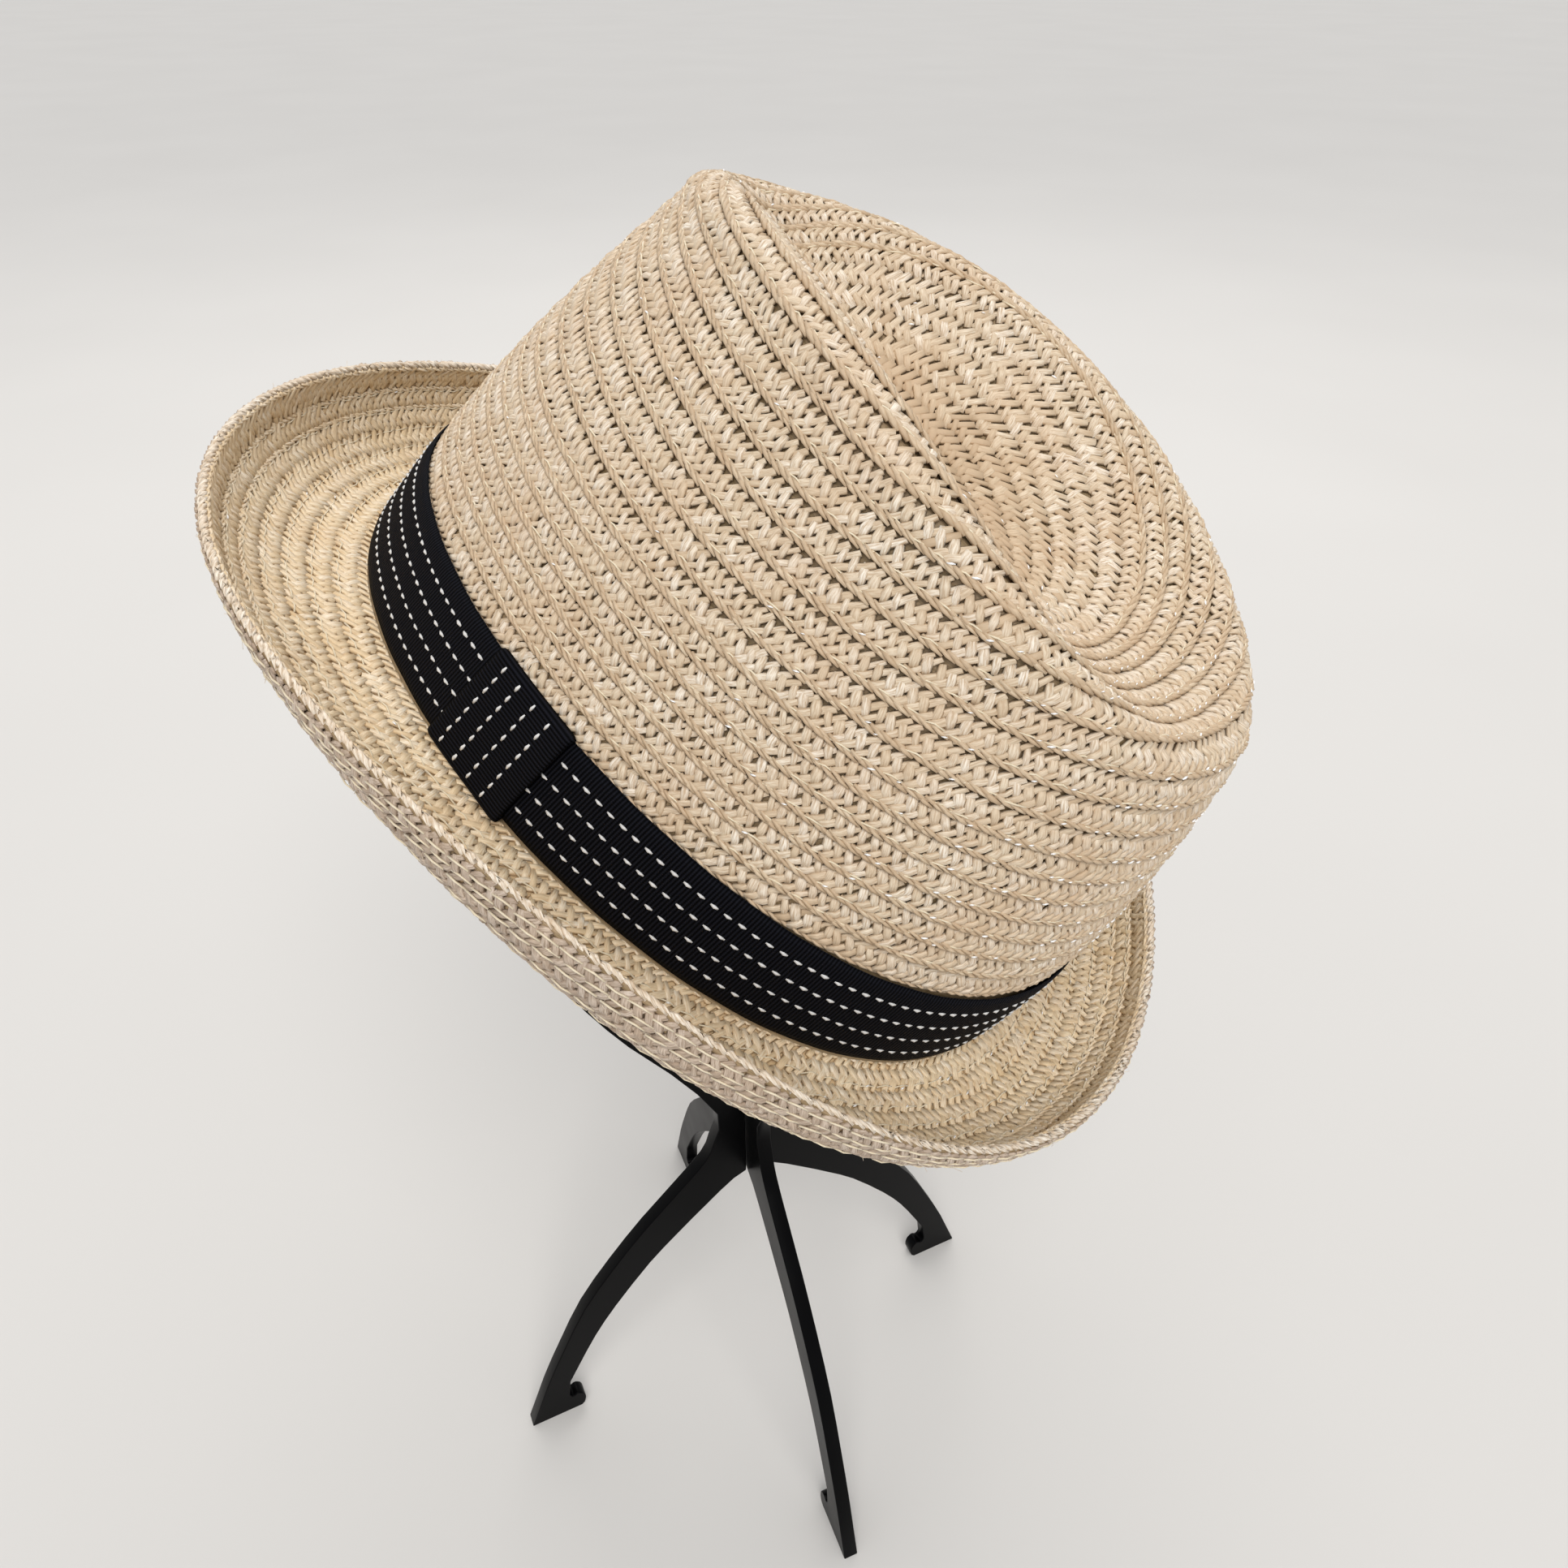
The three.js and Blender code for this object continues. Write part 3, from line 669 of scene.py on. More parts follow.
def wobbly(along, places, heights, off):
    """Paths through the given places, each a little off in its turn, place, bends and height."""
    count = len(places)
    path = paths(count, along, places, heights)
    turn = rng.normal(0, TURN_OFF, (count, 1)) * off
    path[..., 0] += turn * (places - TURN_ABOUT) + rng.normal(0, PLACE_OFF, (count, 1)) * off
    path[..., 1] += rng.normal(0, PLACE_OFF, (count, 1)) * off
    path[..., :2] += rng.normal(0, BEND_OFF, (*places.shape, 2)) * off
    path[..., 2] += rng.normal(0, BEND_OFF, (count, 1)) * off
    return path


print("cells of", CELL_LENGTH, "mm")

# %% [markdown]
# ### One row
# Counted from a row's edge, one sees first a cord of folded strands, then short floats that rise
# to the right and bend out of the cord, then shorter and steeper ones that rise to the left and
# dive under the next row's cord. Between these last ones the other strands show, lying deeper,
# and here and there a dark gap. Where the rows are wide a third column of floats comes out.
# Each kind of strand is a short table: places across the row and along it in millimetres, and
# how high it lies at each place, in units of the weave's depth.
# The rows aren't all alike, so each has a look: how high its cord stands (edge), how the row lies
# and leans (lift, rise), where the floats start, how deep they weave (relief), how wide they are
# (fill), how far they stray (off), how many plies the cord has, their half-width (ply) and their
# tone (cord), and how much paler the floats are (pale), which in the dent is negative: painted
# shade.

# %% One row of plait
PLAIT_WIDTH = 7.6
FULL_PITCH, WIDE_PITCH = 4.9, 6.2
WIDE_FROM = 5.6
MOST_STRETCH = 1.15
WEAVE_DEPTH = 0.27
TONE_SPREAD = 0.2
RISING = {"across": (0.1, 2.1, 3.3, 4.8), "along": (-2.3, -1.0, 0.1, 1.15),
          "up": (0, 1, -0.7, -0.7), "half_width": 0.83, "tone": 0.6}
RISING_WIDE = dict(RISING, across=(0.1, 2.1, 3.3, 4.9, 6.3), along=(-2.3, -1.0, 0.1, 1.2, 2.2),
                   up=(0, 1, -0.7, -0.7, 1))
FALLING = {"across": (1.8, 3.6, 5.4), "along": (0.95, 0, -0.9),
           "up": (-1.0, 1.3, -0.9), "half_width": 0.9, "tone": 0.8}
CORD = {"across": (1.1, 0.68, 0.3), "along": (-1.6, 0.1, 1.9), "up": (-0.1, 0.1, -0.3)}
SECOND_PLY = (1.2, 0.42, -0.03)
LOOK = dict(edge=0.22, lift=-0.03, rise=0.45, start=0.85, relief=1.0, fill=1.04, off=1.0,
            plies=2, ply=0.43, cord=0.14, pale=0.0)


def plait_row(a_chart, row, look):
    """The strands of one row: the plies of its cord, then the floats."""
    cell = row_cells(a_chart, row)
    count = len(cell["angle"])
    wide = cell["pitch"] > WIDE_FROM
    squeeze = cell["pitch"] / np.where(wide, WIDE_PITCH, FULL_PITCH)
    squeeze = np.minimum(MOST_STRETCH, squeeze)[:, None]
    made = []

    def lean(places):
        return look["lift"] + look["rise"] * (1 - places / PLAIT_WIDTH)

    def floats(way, chosen):
        places = np.array(way["across"])
        places[0] = max(places[0], look["start"])
        places = places * squeeze
        along = np.array(way["along"]) * squeeze
        heights = np.array(way["up"]) * WEAVE_DEPTH * look["relief"] * squeeze + lean(places)
        path = wobbly(along, places, heights, look["off"])
        width = way["half_width"] * look["fill"] * np.clip(rng.normal(1, 0.13, count), 0.6, 1.4)
        # The look's pale shifts the floats' tone; in the dent it darkens them as painted shade.
        shade = rng.normal(way["tone"] + look["pale"], TONE_SPREAD, count)
        made.append(bent_strands(a_chart, picked(cell, chosen), path[chosen], width[chosen],
                                 thick=0.5, tip=0.84, tone=shade[chosen]))

    for ply in range(look["plies"]):
        path = paths(count, CORD["along"], CORD["across"], CORD["up"])
        path[..., 2] += look["edge"] + lean(path[..., 1])
        path += np.array(SECOND_PLY) * ply + rng.normal(0, 0.07, (count, 1, 3)) * look["off"]
        width = look["ply"] * rng.normal(1, 0.1, count)
        made.append(bent_strands(a_chart, cell, path, width, thick=0.62, tip=0.6,
                                 tone=rng.normal(look["cord"], 0.14, count)))
    floats(RISING, ~wide)
    floats(RISING_WIDE, wide)
    floats(FALLING, np.full(count, True))
    return made


def plait(a_chart, looks):
    """The strands of several rows, from a dictionary that gives each row's look."""
    return sum([plait_row(a_chart, row, look) for row, look in looks.items()], [])


# %% One row of sewing stitches
STITCH_PATH = {"along": (-2.25, 0, 2.25), "across": (-0.2, 0.3, 0.2), "up": (-0.2, 0.14, -0.2)}
STITCH_PLACE = 1.15  # from the row's edge, between the plies of its cord


def stitch_row(a_chart, row, height, place=STITCH_PLACE):
    """Stitches two cells long, each crossing the row's edge a little aslant."""
    cell = picked(row_cells(a_chart, row), slice(None, None, 2))
    count = len(cell["angle"])
    across, up = np.array(STITCH_PATH["across"]) + place, np.array(STITCH_PATH["up"]) + height
    path = paths(count, STITCH_PATH["along"], across, up)
    path[..., :2] += rng.normal(0, 0.14, (count, 3, 2))
    path[..., 1:] += rng.normal(0, 0.07, (count, 1, 2))
    return bent_strands(a_chart, cell, path, half_width=0.17, thick=0.28, tip=1,
                        tone=rng.uniform(0.5, 1, count))


# %% [markdown]
# ### The crown's plait
# The crown's rows are built in three objects, because a piece is best kept under 200,000
# triangles. The row behind the ribbon's edge is there only for the floats that peep out above it.
# Toward the ridge the cords get bolder. Down in the dent the plait was pressed flat, so there are
# no cords and the weave is shallow, and the straw is painted a little darker row by row: painted
# shade for the depth of the dent.

# %% Crown plait
BEHIND_LOOK = dict(LOOK, edge=0.0, rise=0.3, lift=-0.25, plies=1)
MIDDLE_LOOK = dict(LOOK, ply=0.48)
RIDGE_LOOK = dict(LOOK, edge=0.3, rise=0.38, lift=0.0, relief=0.85, ply=0.54)
DENT_LOOK = dict(LOOK, edge=0.0, rise=0.12, lift=0.0, start=0.2, relief=0.42, fill=1.22, plies=0)
MIDDLE_FROM, RIDGE_FROM, DENT_FROM = 6, 14, 17
DENT_PAINTED_SHADE = -0.04  # painted shade: how fast the straw's tone drops down into the dent
CROWN_STITCH_HEIGHT = 0.67
CROWN_PIECES = {
    "crown_plait_low": range(-1, MIDDLE_FROM),
    "crown_plait_middle": range(MIDDLE_FROM, 15),
    "crown_plait_dent": range(15, CROWN_ROWS),
}


def crown_look(row):
    """How a row of the crown is plaited, with painted shade on the dent's rows."""
    if row < MIDDLE_FROM:
        return BEHIND_LOOK if row < 0 else LOOK
    if row < DENT_FROM:
        return MIDDLE_LOOK if row < RIDGE_FROM else RIDGE_LOOK
    return dict(DENT_LOOK, pale=DENT_PAINTED_SHADE * (row - DENT_FROM) ** 2)


for name, rows in CROWN_PIECES.items():
    looks = {row: crown_look(row) for row in rows}
    strand_piece(name, plait(crown_chart, looks), paper_straw)
crown_stitches = [stitch_row(crown_chart, row, CROWN_STITCH_HEIGHT) for row in range(DENT_FROM)]
strand_piece("crown_stitching", crown_stitches, sewing_thread)

# %% [markdown]
# Inside the crown the plait shows its back: flatter chevrons in the same rows, seen only from
# below. It could be the same plait once more, but nobody looks at it closely, so each strand
# there is a bare bar without cuts.

# %% Lining side of the crown
LINING_DEPTH = 1.5
LINING_STEP = 0.35
LINING_CELL = 2.7
LINING_COLUMNS = ((0.02, 0.56, 1), (0.44, 1.0, -1))  # from, to, slant
lining_chart = dict(crown_chart, normal=-crown_chart["normal"], hand=-1)


def lining_row(row):
    """Two columns of slanting strands, each row leaning a little inwards."""
    made = []
    cell = row_cells(lining_chart, row, LINING_CELL)
    count = len(cell["angle"])
    pitch = cell["pitch"][:, None]
    for low, high, slant in LINING_COLUMNS:
        ends = np.array((low, high)) * pitch
        depth = LINING_DEPTH + LINING_STEP * ends / pitch
        path = paths(count, (ends - pitch / 2) * slant, ends, depth)
        path[..., :2] += rng.normal(0, 0.08, (count, 2, 2))
        made.append(bent_strands(lining_chart, cell, path, half_width=0.82, thick=0.4, tip=0.9,
                                 tone=rng.normal(0.5, 0.16, count)))
    return made


lining = sum([lining_row(row) for row in range(-ROWS_BEHIND_BAND, CROWN_ROWS)], [])
strand_piece("crown_plait_lining", lining, paper_straw)

# %% [markdown]
# ### The brim's plait
# The brim's rows lie flat and soft, without cords. Only the three rows at its rim have one pale
# ply, and the underside shows its weave a little deeper. The rows are stitched on both faces, and
# the last row of the underside has two rows of stitches more.

# %% Brim plait
BRIM_LOOK = dict(LOOK, edge=0.0, rise=0.0, lift=-0.02, start=0.15, relief=0.4, fill=1.1, plies=0)
RIM_LOOK = dict(BRIM_LOOK, plies=1, edge=0.06, cord=0.9)
UNDER_LOOK = dict(LOOK, rise=0.15, lift=-0.1, relief=0.7, fill=1.1, off=0.9, plies=0)
RIM_LOOK_ROWS = 3
BRIM_STITCH_HEIGHT, UNDER_STITCH_HEIGHT, RIM_STITCH_HEIGHT = 0.3, 0.45, 0.4
RIM_STITCH_PLACES = (3.2, 5.3)

outer_rows = plait(brim_chart, dict.fromkeys(range(RIM_LOOK_ROWS), RIM_LOOK))
inner_rows = plait(brim_chart, dict.fromkeys(range(RIM_LOOK_ROWS, BRIM_ROWS + 1), BRIM_LOOK))
under_rows = plait(under_chart, dict.fromkeys(range(-1, BRIM_ROWS), UNDER_LOOK))
strand_piece("brim_plait_inner", inner_rows, brim_straw_painted_light)
strand_piece("brim_plait_outer", outer_rows, brim_straw_painted_light)
strand_piece("brim_plait_underside", under_rows, shaded_straw)
brim_stitches = [stitch_row(brim_chart, row, BRIM_STITCH_HEIGHT) for row in range(1, BRIM_ROWS)]
brim_stitches += [stitch_row(under_chart, row, UNDER_STITCH_HEIGHT) for row in range(1, BRIM_ROWS)]
brim_stitches += [stitch_row(under_chart, BRIM_ROWS - 1, RIM_STITCH_HEIGHT, place)
                  for place in RIM_STITCH_PLACES]
strand_piece("brim_stitching", brim_stitches, sewing_thread)

# %% [markdown]
# ### The rim
# The plait's outer edge is left bare at the rim, so there its folds show from above and below, as
# one pale rope that closes the brim. The same bars are used, bent round a thin tube that runs
# along the edge. A plain torus would close the brim too, but its edge would look moulded.

# %% Rim rope
RIM_RADIUS = 0.5
RIM_INSET = 0.25
RIM_ROW = BRIM_ROWS - 0.6
RIM_ALONG = (-2.7, -0.9, 0.9, 2.7)
RIM_TURNS = np.radians((95, 45, -15, -65))


def rim_rope():
    """Folds that wind a little way from the brim's upper face to the lower one."""
    cell = row_cells(under_chart, RIM_ROW)
    count = len(cell["angle"])
    cell["row"] = np.full(count, float(BRIM_ROWS))
    across, up = RIM_RADIUS * np.cos(RIM_TURNS) - RIM_INSET, -RIM_RADIUS * np.sin(RIM_TURNS)
    path = paths(count, RIM_ALONG, across, up) + rng.normal(0, 0.05, (count, 1, 3))
    mid_wall = under_chart["points"] - under_chart["normal"] * STRAW_WALL / 2
    width = 0.68 * rng.normal(1, 0.08, count)
    return bent_strands(dict(past_rim_chart, points=mid_wall), cell, path, width, thick=0.85,
                        tip=0.66, tone=rng.normal(1, 0.08, count), tube=True)


strand_piece("brim_rim_rope", [rim_rope()], paper_straw)

# %% [markdown]
# ### Loose ends
# Paper straw frays a little: fine hairs stand off the rim. And among the strands a clear filament
# shows here and there and glints; its bits are painted white as painted glints, most of them at the
# back of the hat. A few bars bent along random paths are enough for both, where a hair system would
# add far more than the eye can find.

# %% Hairs and glints
HAIR_COUNT = 150
HAIR_REACH = (1.5, 0.8, 0.45)
HAIR_ROWS = (5.5, 7.0)
# The painted glints gather round this angle, at the back of the hat.
GLINT_MIDDLE = math.radians(172)
GLINT_SPREAD = math.radians(38)
GLINTS = [  # chart, rows, glints in a row, height
    (crown_chart, range(1, 15), 17, 0.95),
    (crown_chart, range(15, 24), 5, 0.5),
    (brim_chart, range(1, BRIM_ROWS), 11, 0.45),
]


def hairs(count):
    """Fine hairs that curl away from the underside close to the rim."""
    cell = picked(row_cells(under_chart, RIM_ROW), slice(0, count))
    cell["angle"] = rng.uniform(0, 2 * math.pi, count)
    cell["row"] = rng.uniform(*HAIR_ROWS, count)
    way = rng.normal(0, 1, (count, 1, 3)) * HAIR_REACH
    path = way * np.linspace(0, 1, 4)[None, :, None] + rng.normal(0, 0.15, (count, 4, 3))
    path[..., 2] = np.abs(path[..., 2]) + np.linspace(0, 0.9, 4)
    return bent_strands(past_rim_chart, cell, path, half_width=0.045, thick=0.07, tip=0.4, tone=0.9)


def glint_row(a_chart, row, count, height):
    """Short bits of filament beside the stitches, painted white as painted glints, most of them at
    the back of the hat.
    """
    cell = row_cells(a_chart, row)
    from_back = (cell["angle"] - GLINT_MIDDLE) / GLINT_SPREAD
    chance = 0.05 + np.exp(-(from_back**2))
    few = rng.choice(len(chance), min(count, len(chance)), replace=False, p=chance / chance.sum())
    few = np.sort(few)
    size = rng.uniform(0.6, 1.2, (len(few), 1))
    across = np.array((-0.2, 0, 0.2)) * size + rng.uniform(0.5, 1.7, (len(few), 1))
    up = np.array((0, 0.12, 0)) + height
    path = paths(len(few), np.array((-0.5, 0, 0.5)) * size, across, up)
    return bent_strands(a_chart, picked(cell, few), path, 0.2 * size[:, 0],
                        thick=0.3, tip=0.4, tone=1)


strand_piece("brim_loose_hairs", [hairs(HAIR_COUNT)], paper_straw)
glints = [glint_row(a_chart, row, count, height)
          for a_chart, rows, count, height in GLINTS for row in rows]
strand_piece("clear_filament", glints, nylon_painted_glint)

# %% [markdown]
# ## The body under the plait
# Between the crown's strands one looks down on the plait's lower strands, which the core's darker
# brown stands for as painted shade, and between the brim's on straw of the same colour. A closed
# shell carries the strands: its outer face lies just below them and its inner face just behind
# those of the lining side. Strands alone would let one see right through the hat. A shell starts
# as a flat grid whose points are moved to their places, and the doubled points along its seams
# are then merged.

# %% Shells from grids
WELD_MM = 0.02


def grid_piece(name, segments, place, material, uv_size):
    """A grid whose unit square is moved by place(x, y), welded along its seams."""
    bm = bmesh.new()
    uv = bm.loops.layers.uv.new("strand")
    bmesh.ops.create_grid(bm, x_segments=segments[0], y_segments=segments[1], size=0.5,
                          calc_uvs=True)
    flat = np.array([vert.co[:] for vert in bm.verts], np.float32) + 0.5
    for vert, point in zip(bm.verts, place(flat[:, 0], flat[:, 1])):
        vert.co = point
    for face in bm.faces:
        face.smooth = True
        for corner in face.loops:
            corner[uv].uv = corner[uv].uv * Vector(uv_size)
    bmesh.ops.remove_doubles(bm, verts=bm.verts, dist=WELD_MM * MM)
    bmesh.ops.recalc_face_normals(bm, faces=bm.faces)
    mesh = bpy.data.meshes.new(name)
    bm.to_mesh(mesh)
    bm.free()
    return make_piece(name, mesh, material)


# %% Crown and brim shells
SHELL_DEPTH = 0.62
BRIM_SHELL_DEPTH = 0.5
CROWN_INNER = 1.2
RIM_CORE_RADIUS = 0.85
RIM_PITCH = 7.0
ROUND_CROWN, ROUND_BRIM = 560, 620  # lengths for the UV maps, in millimetres
CROWN_SECTION, BRIM_SECTION, RIM_SECTION = 300, 84, 6


def chart_place(a_chart, x, row, depth):
    """Places for a grid whose x goes once round the head."""
    return to_frame(on_chart(a_chart, x * 2 * math.pi, row, depth))


def crown_shell(x, y):
    """The inner face from the valley down to the foot, then the outer one back up."""
    outside = y > 0.5
    share = np.where(outside, y * 2 - 1, 1 - y * 2)
    row = share * (CROWN_ROWS + ROWS_BEHIND_BAND) - ROWS_BEHIND_BAND
    depth = np.where(outside, -SHELL_DEPTH, -CROWN_INNER - LINING_STEP * np.mod(row, 1))
    return chart_place(crown_chart, x, row, depth)


def brim_shell(x, y):
    """Once round the wall's section: out along the top and back along the underside."""
    on_top = y <= 0.5
    row = np.where(on_top, 1 - y * 2, y * 2 - 1) * (BRIM_ROWS + 1.1)
    depth = np.where(on_top, -BRIM_SHELL_DEPTH, -STRAW_WALL + SHELL_DEPTH)
    return chart_place(brim_chart, x, row, depth)


def rim_core(x, y):
    """A round tube inside the rim's rope."""
    turn = y * 2 * math.pi
    row = RIM_CORE_RADIUS * np.cos(turn) / RIM_PITCH + 0.07
    depth = -STRAW_WALL / 2 + RIM_CORE_RADIUS * np.sin(turn)
    return chart_place(brim_chart, x, row, depth)


# Both cores carry the dark brown straw that is painted shade between the strands.
grid_piece("brim_rim_core", (240, 8), rim_core, straw_core_painted_shade, (ROUND_BRIM, RIM_SECTION))
crown_core = grid_piece("crown_core", (144, 180), crown_shell, straw_core_painted_shade,
                        (ROUND_CROWN, CROWN_SECTION))
brim_core = grid_piece("brim_core", (180, 42), brim_shell, brim_straw_painted_light, (ROUND_BRIM, BRIM_SECTION))
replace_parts(crown_core, "crown")
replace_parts(brim_core, "brim")

# %% [markdown]
# ## Ribbon
# Grosgrain is woven with a thick weft, which makes ribs straight across the ribbon. The band is a
# flat tape, 25 mm wide, stretched round the crown, so it is a flat closed section carried round
# the head. Its ribs are about 0.6 mm apart, too fine for geometry at this distance, and are drawn
# by the material on a UV map in millimetres, at 0.8 mm, a little coarser so that they show.

# %% Ribbon material
RIB_PITCH = 0.8
RIB_HEIGHT = 0.2
WARP_PITCH = 0.5
WARP_RELIEF = 0.25  # of the ribs' relief
WAVE_LENGTH = math.pi / 10  # of Blender's wave texture at scale 1


def grosgrain_material():
    """Black polyester grosgrain: black valleys between slightly lighter ribs, painted shade and
    painted light on the ribs' relief.
    """
    material = new_material("black_grosgrain")
    flat = add_node(material, "ShaderNodeUVMap", {"uv_map": "strand"})
    rib = add_node(material, "ShaderNodeTexWave",
                   {"bands_direction": "X", "Scale": WAVE_LENGTH / RIB_PITCH,
                    "Distortion": 0.25, "Detail": 1.0, "Detail Scale": 2.0},
                   {"Vector": flat.outputs["UV"]})
    warp = add_node(material, "ShaderNodeTexWave",
                    {"bands_direction": "Y", "Scale": WAVE_LENGTH / WARP_PITCH,
                     "Distortion": 0.4},
                    {"Vector": flat.outputs["UV"]})
    height = add_node(material, "ShaderNodeMath", {"operation": "MULTIPLY_ADD", 1: WARP_RELIEF},
                      {0: warp.outputs["Fac"], 2: rib.outputs["Fac"]})
    # Valleys darker than the ribs: painted shade and painted light that follow the ribs' relief.
    colour = add_node(material, "ShaderNodeMix",
                      {"data_type": "RGBA", 6: linear("#010102"), 7: linear("#191a21")},
                      {0: rib.outputs["Fac"]})
    bump = add_node(material, "ShaderNodeBump", {"Strength": 0.9, "Distance": RIB_HEIGHT * MM},
                    {"Height": height.outputs["Value"]})
    shader = add_node(material, "ShaderNodeBsdfPrincipled",
                      {"Roughness": 0.7, "Specular IOR Level": 0.05},
                      {"Base Color": colour.outputs[2], "Normal": bump.outputs["Normal"]})
    add_node(material, "ShaderNodeOutputMaterial", None, {"Surface": shader.outputs["BSDF"]})
    return material


grosgrain = grosgrain_material()
print("ribs drawn", RIB_PITCH, "mm apart")

# %% Ribbon band
BAND_INNER, BAND_OUTER = 0.35, 1.25
BAND_EDGE_SHARE = 1 / 12
SELVEDGE, SELVEDGE_WAVES = 0.12, 31


def over_crown(t, z, out):
    """A point off the crown's side, at a height over the head opening."""
    step = 1e-3
    round_way = crown_side(t + step, z) - crown_side(t - step, z)
    up_way = crown_side(t, z + step) - crown_side(t, z - step)
    return crown_side(t, z) + unit(np.cross(round_way, up_way)) * out[..., None]


head_walked = walked_along(oval(angles, HEAD)[0])
BAND_LENGTH = head_walked[-1]


def band_place(x, y):
    """Round the ribbon's flat section: up its outer face and down its inner one."""
    t = np.interp(x * BAND_LENGTH, head_walked, angles)
    outside = y < 0.5
    up = np.where(outside, y * 2, 2 - y * 2)
    edge = np.clip(np.minimum(up, 1 - up) / BAND_EDGE_SHARE, 0, 1) ** 0.5
    middle = (BAND_OUTER + BAND_INNER) / 2
    out = middle + np.where(outside, 1, -1) * (BAND_OUTER - BAND_INNER) / 2 * edge
    wander = SELVEDGE * np.sin(x * 2 * math.pi * SELVEDGE_WAVES) * (up - 0.5)
    return to_frame(over_crown(t, up * BAND_WIDTH + wander, out))


band = grid_piece("ribbon_band", (360, 28), band_place, grosgrain,
                  (BAND_LENGTH, 2 * BAND_WIDTH))
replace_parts(band, "band")
print("ribbon", round(BAND_LENGTH), "mm long")

# %% [markdown]
# The keeper loop is a short end of the same ribbon, wrapped round the band over the wearer's left
# ear and tucked in behind its edges. Its front edge lies flat and its back edge stands off a
# little, which throws the dark line that one sees beside it. Its ribs run the other way, so its
# UV map is turned.

# %% Keeper loop
LOOP_LENGTH = 24.5
LOOP_SECTION = 66
LOOP_PLACE = math.radians(94.3)
LOOP_THICK = 0.7
LOOP_REST = 1.75
LOOP_STAND_OFF = 0.9
LOOP_FREE_FROM = 0.45
LOOP_FOLD = [(2.6, 0.5), (0.4, 0.5), (-0.7, 0.7), (-0.95, 1.3), (-0.3, LOOP_REST), (1.2, LOOP_REST)]


def loop_lift(share):
    """How far the loop stands off the band: nothing in front, most at its back edge."""
    free = np.clip((share - LOOP_FREE_FROM) / (1 - LOOP_FREE_FROM), 0, 1)
    return LOOP_STAND_OFF * free**2


def loop_place(x, y):
    """Round the loop's section, which folds in behind both edges of the band."""
    half = np.array(LOOP_FOLD)
    line = np.concatenate([half, (half * (-1, 1) + (BAND_WIDTH, 0))[::-1]])
    walked = walked_along(line)
    outside = y < 0.5
    share = np.where(outside, y * 2, 2 - y * 2)
    length, step = walked[-1], walked[-1] / 60
    spot, ahead, behind = [along_line(share * length + shift, walked, line)
                           for shift in (0, step, -step)]
    way = unit(ahead - behind)
    ends = np.minimum(np.minimum(x, 1 - x) * 18, np.minimum(share, 1 - share) * 40)
    thick = LOOP_THICK / 2 * np.where(outside, 1, -1) * np.clip(ends, 0, 1) ** 0.5
    z = spot[..., 0] - way[..., 1] * thick
    out = spot[..., 1] + way[..., 0] * thick
    out = out + loop_lift(x) * np.clip(out / LOOP_REST, 0, 1)
    along = loop_middle + (x - 0.5) * LOOP_LENGTH
    return to_frame(over_crown(np.interp(along, head_walked, angles), z, out))


loop_middle = np.interp(LOOP_PLACE, angles, head_walked)
loop = grid_piece("ribbon_loop", (30, 80), loop_place, grosgrain,
                  (LOOP_LENGTH, LOOP_SECTION))
for corner in loop.data.uv_layers["strand"].data:
    corner.uv = (corner.uv.y, corner.uv.x)
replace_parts(loop, "band_loop")
print("loop", round(loop_middle), "mm round the ribbon from the front")

# %% [markdown]
# Four rows of white running stitches go round the ribbon, and four short rows go across the loop.
# They could be painted on, but real stitches stand up and cast a small shadow, so they are the
# same bars as the straw's, laid on a chart of the ribbon's outer face.

# %% Ribbon stitches
STITCH_ROWS = (4.95, 10.05, 15.15, 20.25)
STITCH_PITCH = 3.2
STITCH_HALF = 0.84
LOOP_STITCHES = {"count": 8, "first": 1.6, "pitch": 3.15, "shares": (0.17, 0.37, 0.57, 0.77)}
BAND_CHART_ROWS = 5

band_heights = np.linspace(0, BAND_WIDTH, BAND_CHART_ROWS * STEPS_PER_ROW + 1)
band_grid = np.meshgrid(angles, band_heights, indexing="ij")
band_face = over_crown(*band_grid, np.full(band_grid[0].shape, BAND_OUTER))
band_chart = chart("band", band_face, 0, BAND_CHART_ROWS)


def ribbon_cell(along):
    """A cell for each place along the ribbon, measured in millimetres from the front."""
    return {"angle": np.interp(along, head_walked, angles), "row": np.zeros(len(along)),
            "pitch": np.full(len(along), BAND_WIDTH / BAND_CHART_ROWS),
            "rate": np.interp(along, head_walked, np.gradient(head_walked, angles))}


def running_stitches(along, up, lift, across):
    """White stitches, each a short bar that dips into the ribbon at both ends."""
    bar = np.array((-STITCH_HALF, 0, STITCH_HALF))
    dip = np.array((-0.12, 0.2, -0.12))
    up = np.reshape(up, (-1, 1))
    path = paths(len(along), bar * (not across), bar * across + up, dip + lift)
    path[..., :2] += rng.normal(0, 0.06, (len(along), 1, 2))
    width = 0.36 * rng.normal(1, 0.08, len(along))
    return bent_strands(band_chart, ribbon_cell(along), path, width, thick=0.3, tip=0.75, tone=0.5)


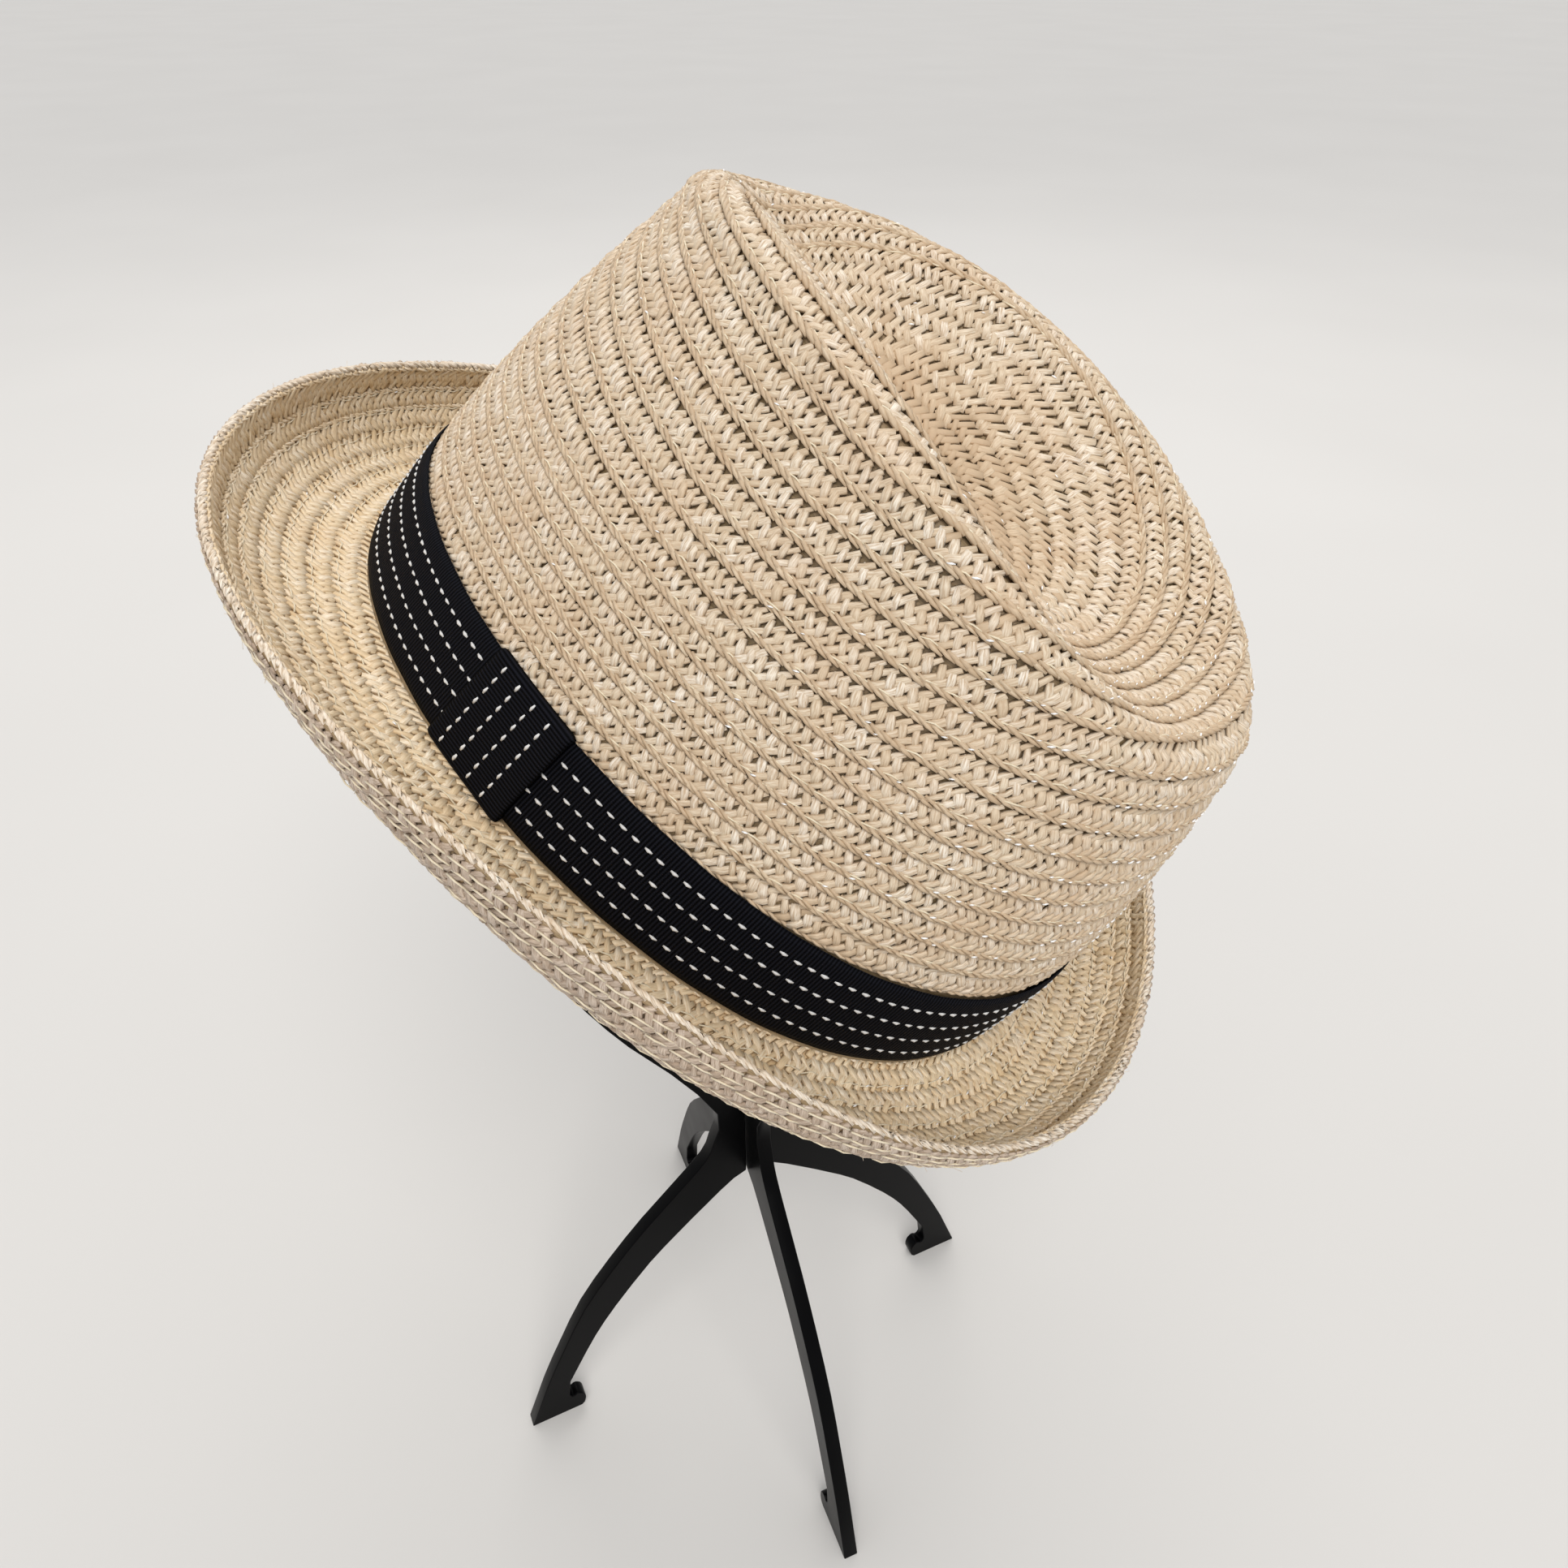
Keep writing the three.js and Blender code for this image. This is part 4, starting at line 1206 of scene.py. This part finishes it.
stitches = []
for height in STITCH_ROWS:
    places = np.arange(0, BAND_LENGTH - STITCH_PITCH / 2, STITCH_PITCH)
    places = np.mod(places + rng.uniform(0, STITCH_PITCH), BAND_LENGTH)
    places = places[np.abs(places - loop_middle) > LOOP_LENGTH / 2 - 0.4]
    stitches.append(running_stitches(places, height, 0, across=False))
ups = LOOP_STITCHES["first"] + LOOP_STITCHES["pitch"] * np.arange(LOOP_STITCHES["count"])
for share in LOOP_STITCHES["shares"]:
    places = np.full(len(ups), loop_middle + (share - 0.5) * LOOP_LENGTH)
    face = LOOP_REST + LOOP_THICK / 2 - BAND_OUTER + loop_lift(share)
    stitches.append(running_stitches(places, ups, face, across=True))
ribbon_stitches = strand_piece("ribbon_stitches", stitches, white_stitch)

# %% [markdown]
# ## Stand
# The two blades are flat mouldings of black polystyrene, with a satin face whose gloss is faintly
# mottled. A moulded edge is never sharp: it has a radius of a millimetre or so, and that radius is
# what catches the light. The blades could be drawn anew, but the CAD model has their outline
# already: its meshes are copied, their loose triangles are merged, and the long edges bevelled.

# %% Plastic material
GRAIN_MM = 1.6
GRAIN_HEIGHT = 0.05
CLOUD_MM = 18


def moulded_plastic(name, colour, pale):
    """Black moulded plastic, satin, with the faint mottled gloss of a moulding tool."""
    material = new_material(name)
    place = add_node(material, "ShaderNodeTexCoord")
    grain = add_node(material, "ShaderNodeTexNoise",
                     {"Scale": 1.0 / (GRAIN_MM * MM), "Detail": 3.0},
                     {"Vector": place.outputs["Object"]})
    cloud = add_node(material, "ShaderNodeTexNoise",
                     {"Scale": 1.0 / (CLOUD_MM * MM), "Detail": 2.0},
                     {"Vector": place.outputs["Object"]})
    mixed = add_node(material, "ShaderNodeMix",
                     {"data_type": "RGBA", 6: linear(colour), 7: linear(pale)},
                     {0: cloud.outputs["Fac"]})
    gloss = add_node(material, "ShaderNodeMapRange", {"To Min": 0.24, "To Max": 0.38},
                     {"Value": cloud.outputs["Fac"]})
    bump = add_node(material, "ShaderNodeBump", {"Strength": 0.12, "Distance": GRAIN_HEIGHT * MM},
                    {"Height": grain.outputs["Fac"]})
    shader = add_node(material, "ShaderNodeBsdfPrincipled",
                      {"IOR": 1.5, "Specular IOR Level": 0.06},
                      {"Base Color": mixed.outputs[2], "Roughness": gloss.outputs["Result"],
                       "Normal": bump.outputs["Normal"]})
    add_node(material, "ShaderNodeOutputMaterial", None, {"Surface": shader.outputs["BSDF"]})
    return material


black_plastic = moulded_plastic("black_moulded_polystyrene", "#020203", "#060607")
print("plastic with grain of", GRAIN_MM, "mm")

# %% Blades
EDGE_RADIUS = 1.0
SHARP = math.radians(40)
FLAT = math.radians(1)
LARGE_FACE = 12  # corners: the blades' flat faces have many and stay flat shaded


def moulded_blade(node, name):
    """A copy of a CAD blade with its triangles merged and its edges rounded."""
    bm = bmesh.new()
    bm.from_mesh(bpy.data.objects[node].data)
    bmesh.ops.remove_doubles(bm, verts=bm.verts, dist=0.01 * MM)
    bmesh.ops.dissolve_limit(bm, angle_limit=FLAT, verts=bm.verts, edges=bm.edges)
    sharp = [e for e in bm.edges if len(e.link_faces) == 2 and e.calc_face_angle() > SHARP]
    bmesh.ops.bevel(bm, geom=sharp, offset=EDGE_RADIUS * MM, offset_type="OFFSET", segments=3,
                    profile=0.5, affect="EDGES", material=-1, clamp_overlap=True)
    for face in bm.faces:
        face.smooth = len(face.verts) < LARGE_FACE
    mesh = bpy.data.meshes.new(name)
    bm.to_mesh(mesh)
    bm.free()
    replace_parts(make_piece(name, mesh, black_plastic), node)


moulded_blade("stand_blade_wide", "stand_wide_blade_moulding")
moulded_blade("stand_blade_cross", "stand_cross_blade_moulding")

# %% [markdown]
# ## Floor and light
# A plain pale floor under a broad soft light from behind the camera, as from a large window. A
# weaker panel behind and above the hat keeps the shaded side of the brim open, and an even
# surrounding stands for the white walls of a room. Places and sizes are in metres here.

# %% Floor
FLOOR_REACH = 20
FLOOR_MOTTLE = 3.0


def pale_floor():
    """A wide pale floor with the faintest mottling."""
    bm = bmesh.new()
    bmesh.ops.create_grid(bm, x_segments=1, y_segments=1, size=FLOOR_REACH)
    mesh = bpy.data.meshes.new("floor")
    bm.to_mesh(mesh)
    bm.free()
    material = new_material("pale_floor")
    place = add_node(material, "ShaderNodeTexCoord")
    mottle = add_node(material, "ShaderNodeTexNoise", {"Scale": FLOOR_MOTTLE},
                      {"Vector": place.outputs["Object"]})
    colour = add_node(material, "ShaderNodeMix",
                      {"data_type": "RGBA", 6: linear("#cfcdca"), 7: linear("#d5d3d0")},
                      {0: mottle.outputs["Fac"]})
    shader = add_node(material, "ShaderNodeBsdfPrincipled", {"Roughness": 0.9},
                      {"Base Color": colour.outputs[2]})
    add_node(material, "ShaderNodeOutputMaterial", None, {"Surface": shader.outputs["BSDF"]})
    mesh.materials.append(material)
    in_scene("floor", mesh)
    print("floor reaches", FLOOR_REACH, "m")


pale_floor()

# %% Light
HAT_MIDDLE = Vector((0, 0, 0.27))
WINDOW_ANGLE = math.radians(40)
PANEL_SIZE = 1.3
WALLS = {"Color": linear("#f2f3f5"), "Strength": 0.66}


def add_light(name, kind, place, power, colour):
    """A light that looks at the middle of the hat."""
    light = bpy.data.lights.new(name, kind)
    light.energy = power
    light.color = linear(colour)[:3]
    lamp = in_scene(name, light)
    lamp.location = place
    lamp.rotation_euler = (HAT_MIDDLE - Vector(place)).to_track_quat("-Z", "Y").to_euler()
    print(name, "shines with", power)
    return light


add_light("window", "SUN", (-0.35, -1.1, 1.7), 1.75, "#fffdfa").angle = WINDOW_ANGLE
add_light("panel_above", "AREA", (0.4, 0.9, 1.6), 10, "#fffcf8").size = PANEL_SIZE
world = bpy.data.worlds.new("studio")
world.use_nodes = True
for socket, value in WALLS.items():
    world.node_tree.nodes["Background"].inputs[socket].default_value = value
bpy.context.scene.world = world
bpy.context.scene.view_settings.view_transform = "Standard"
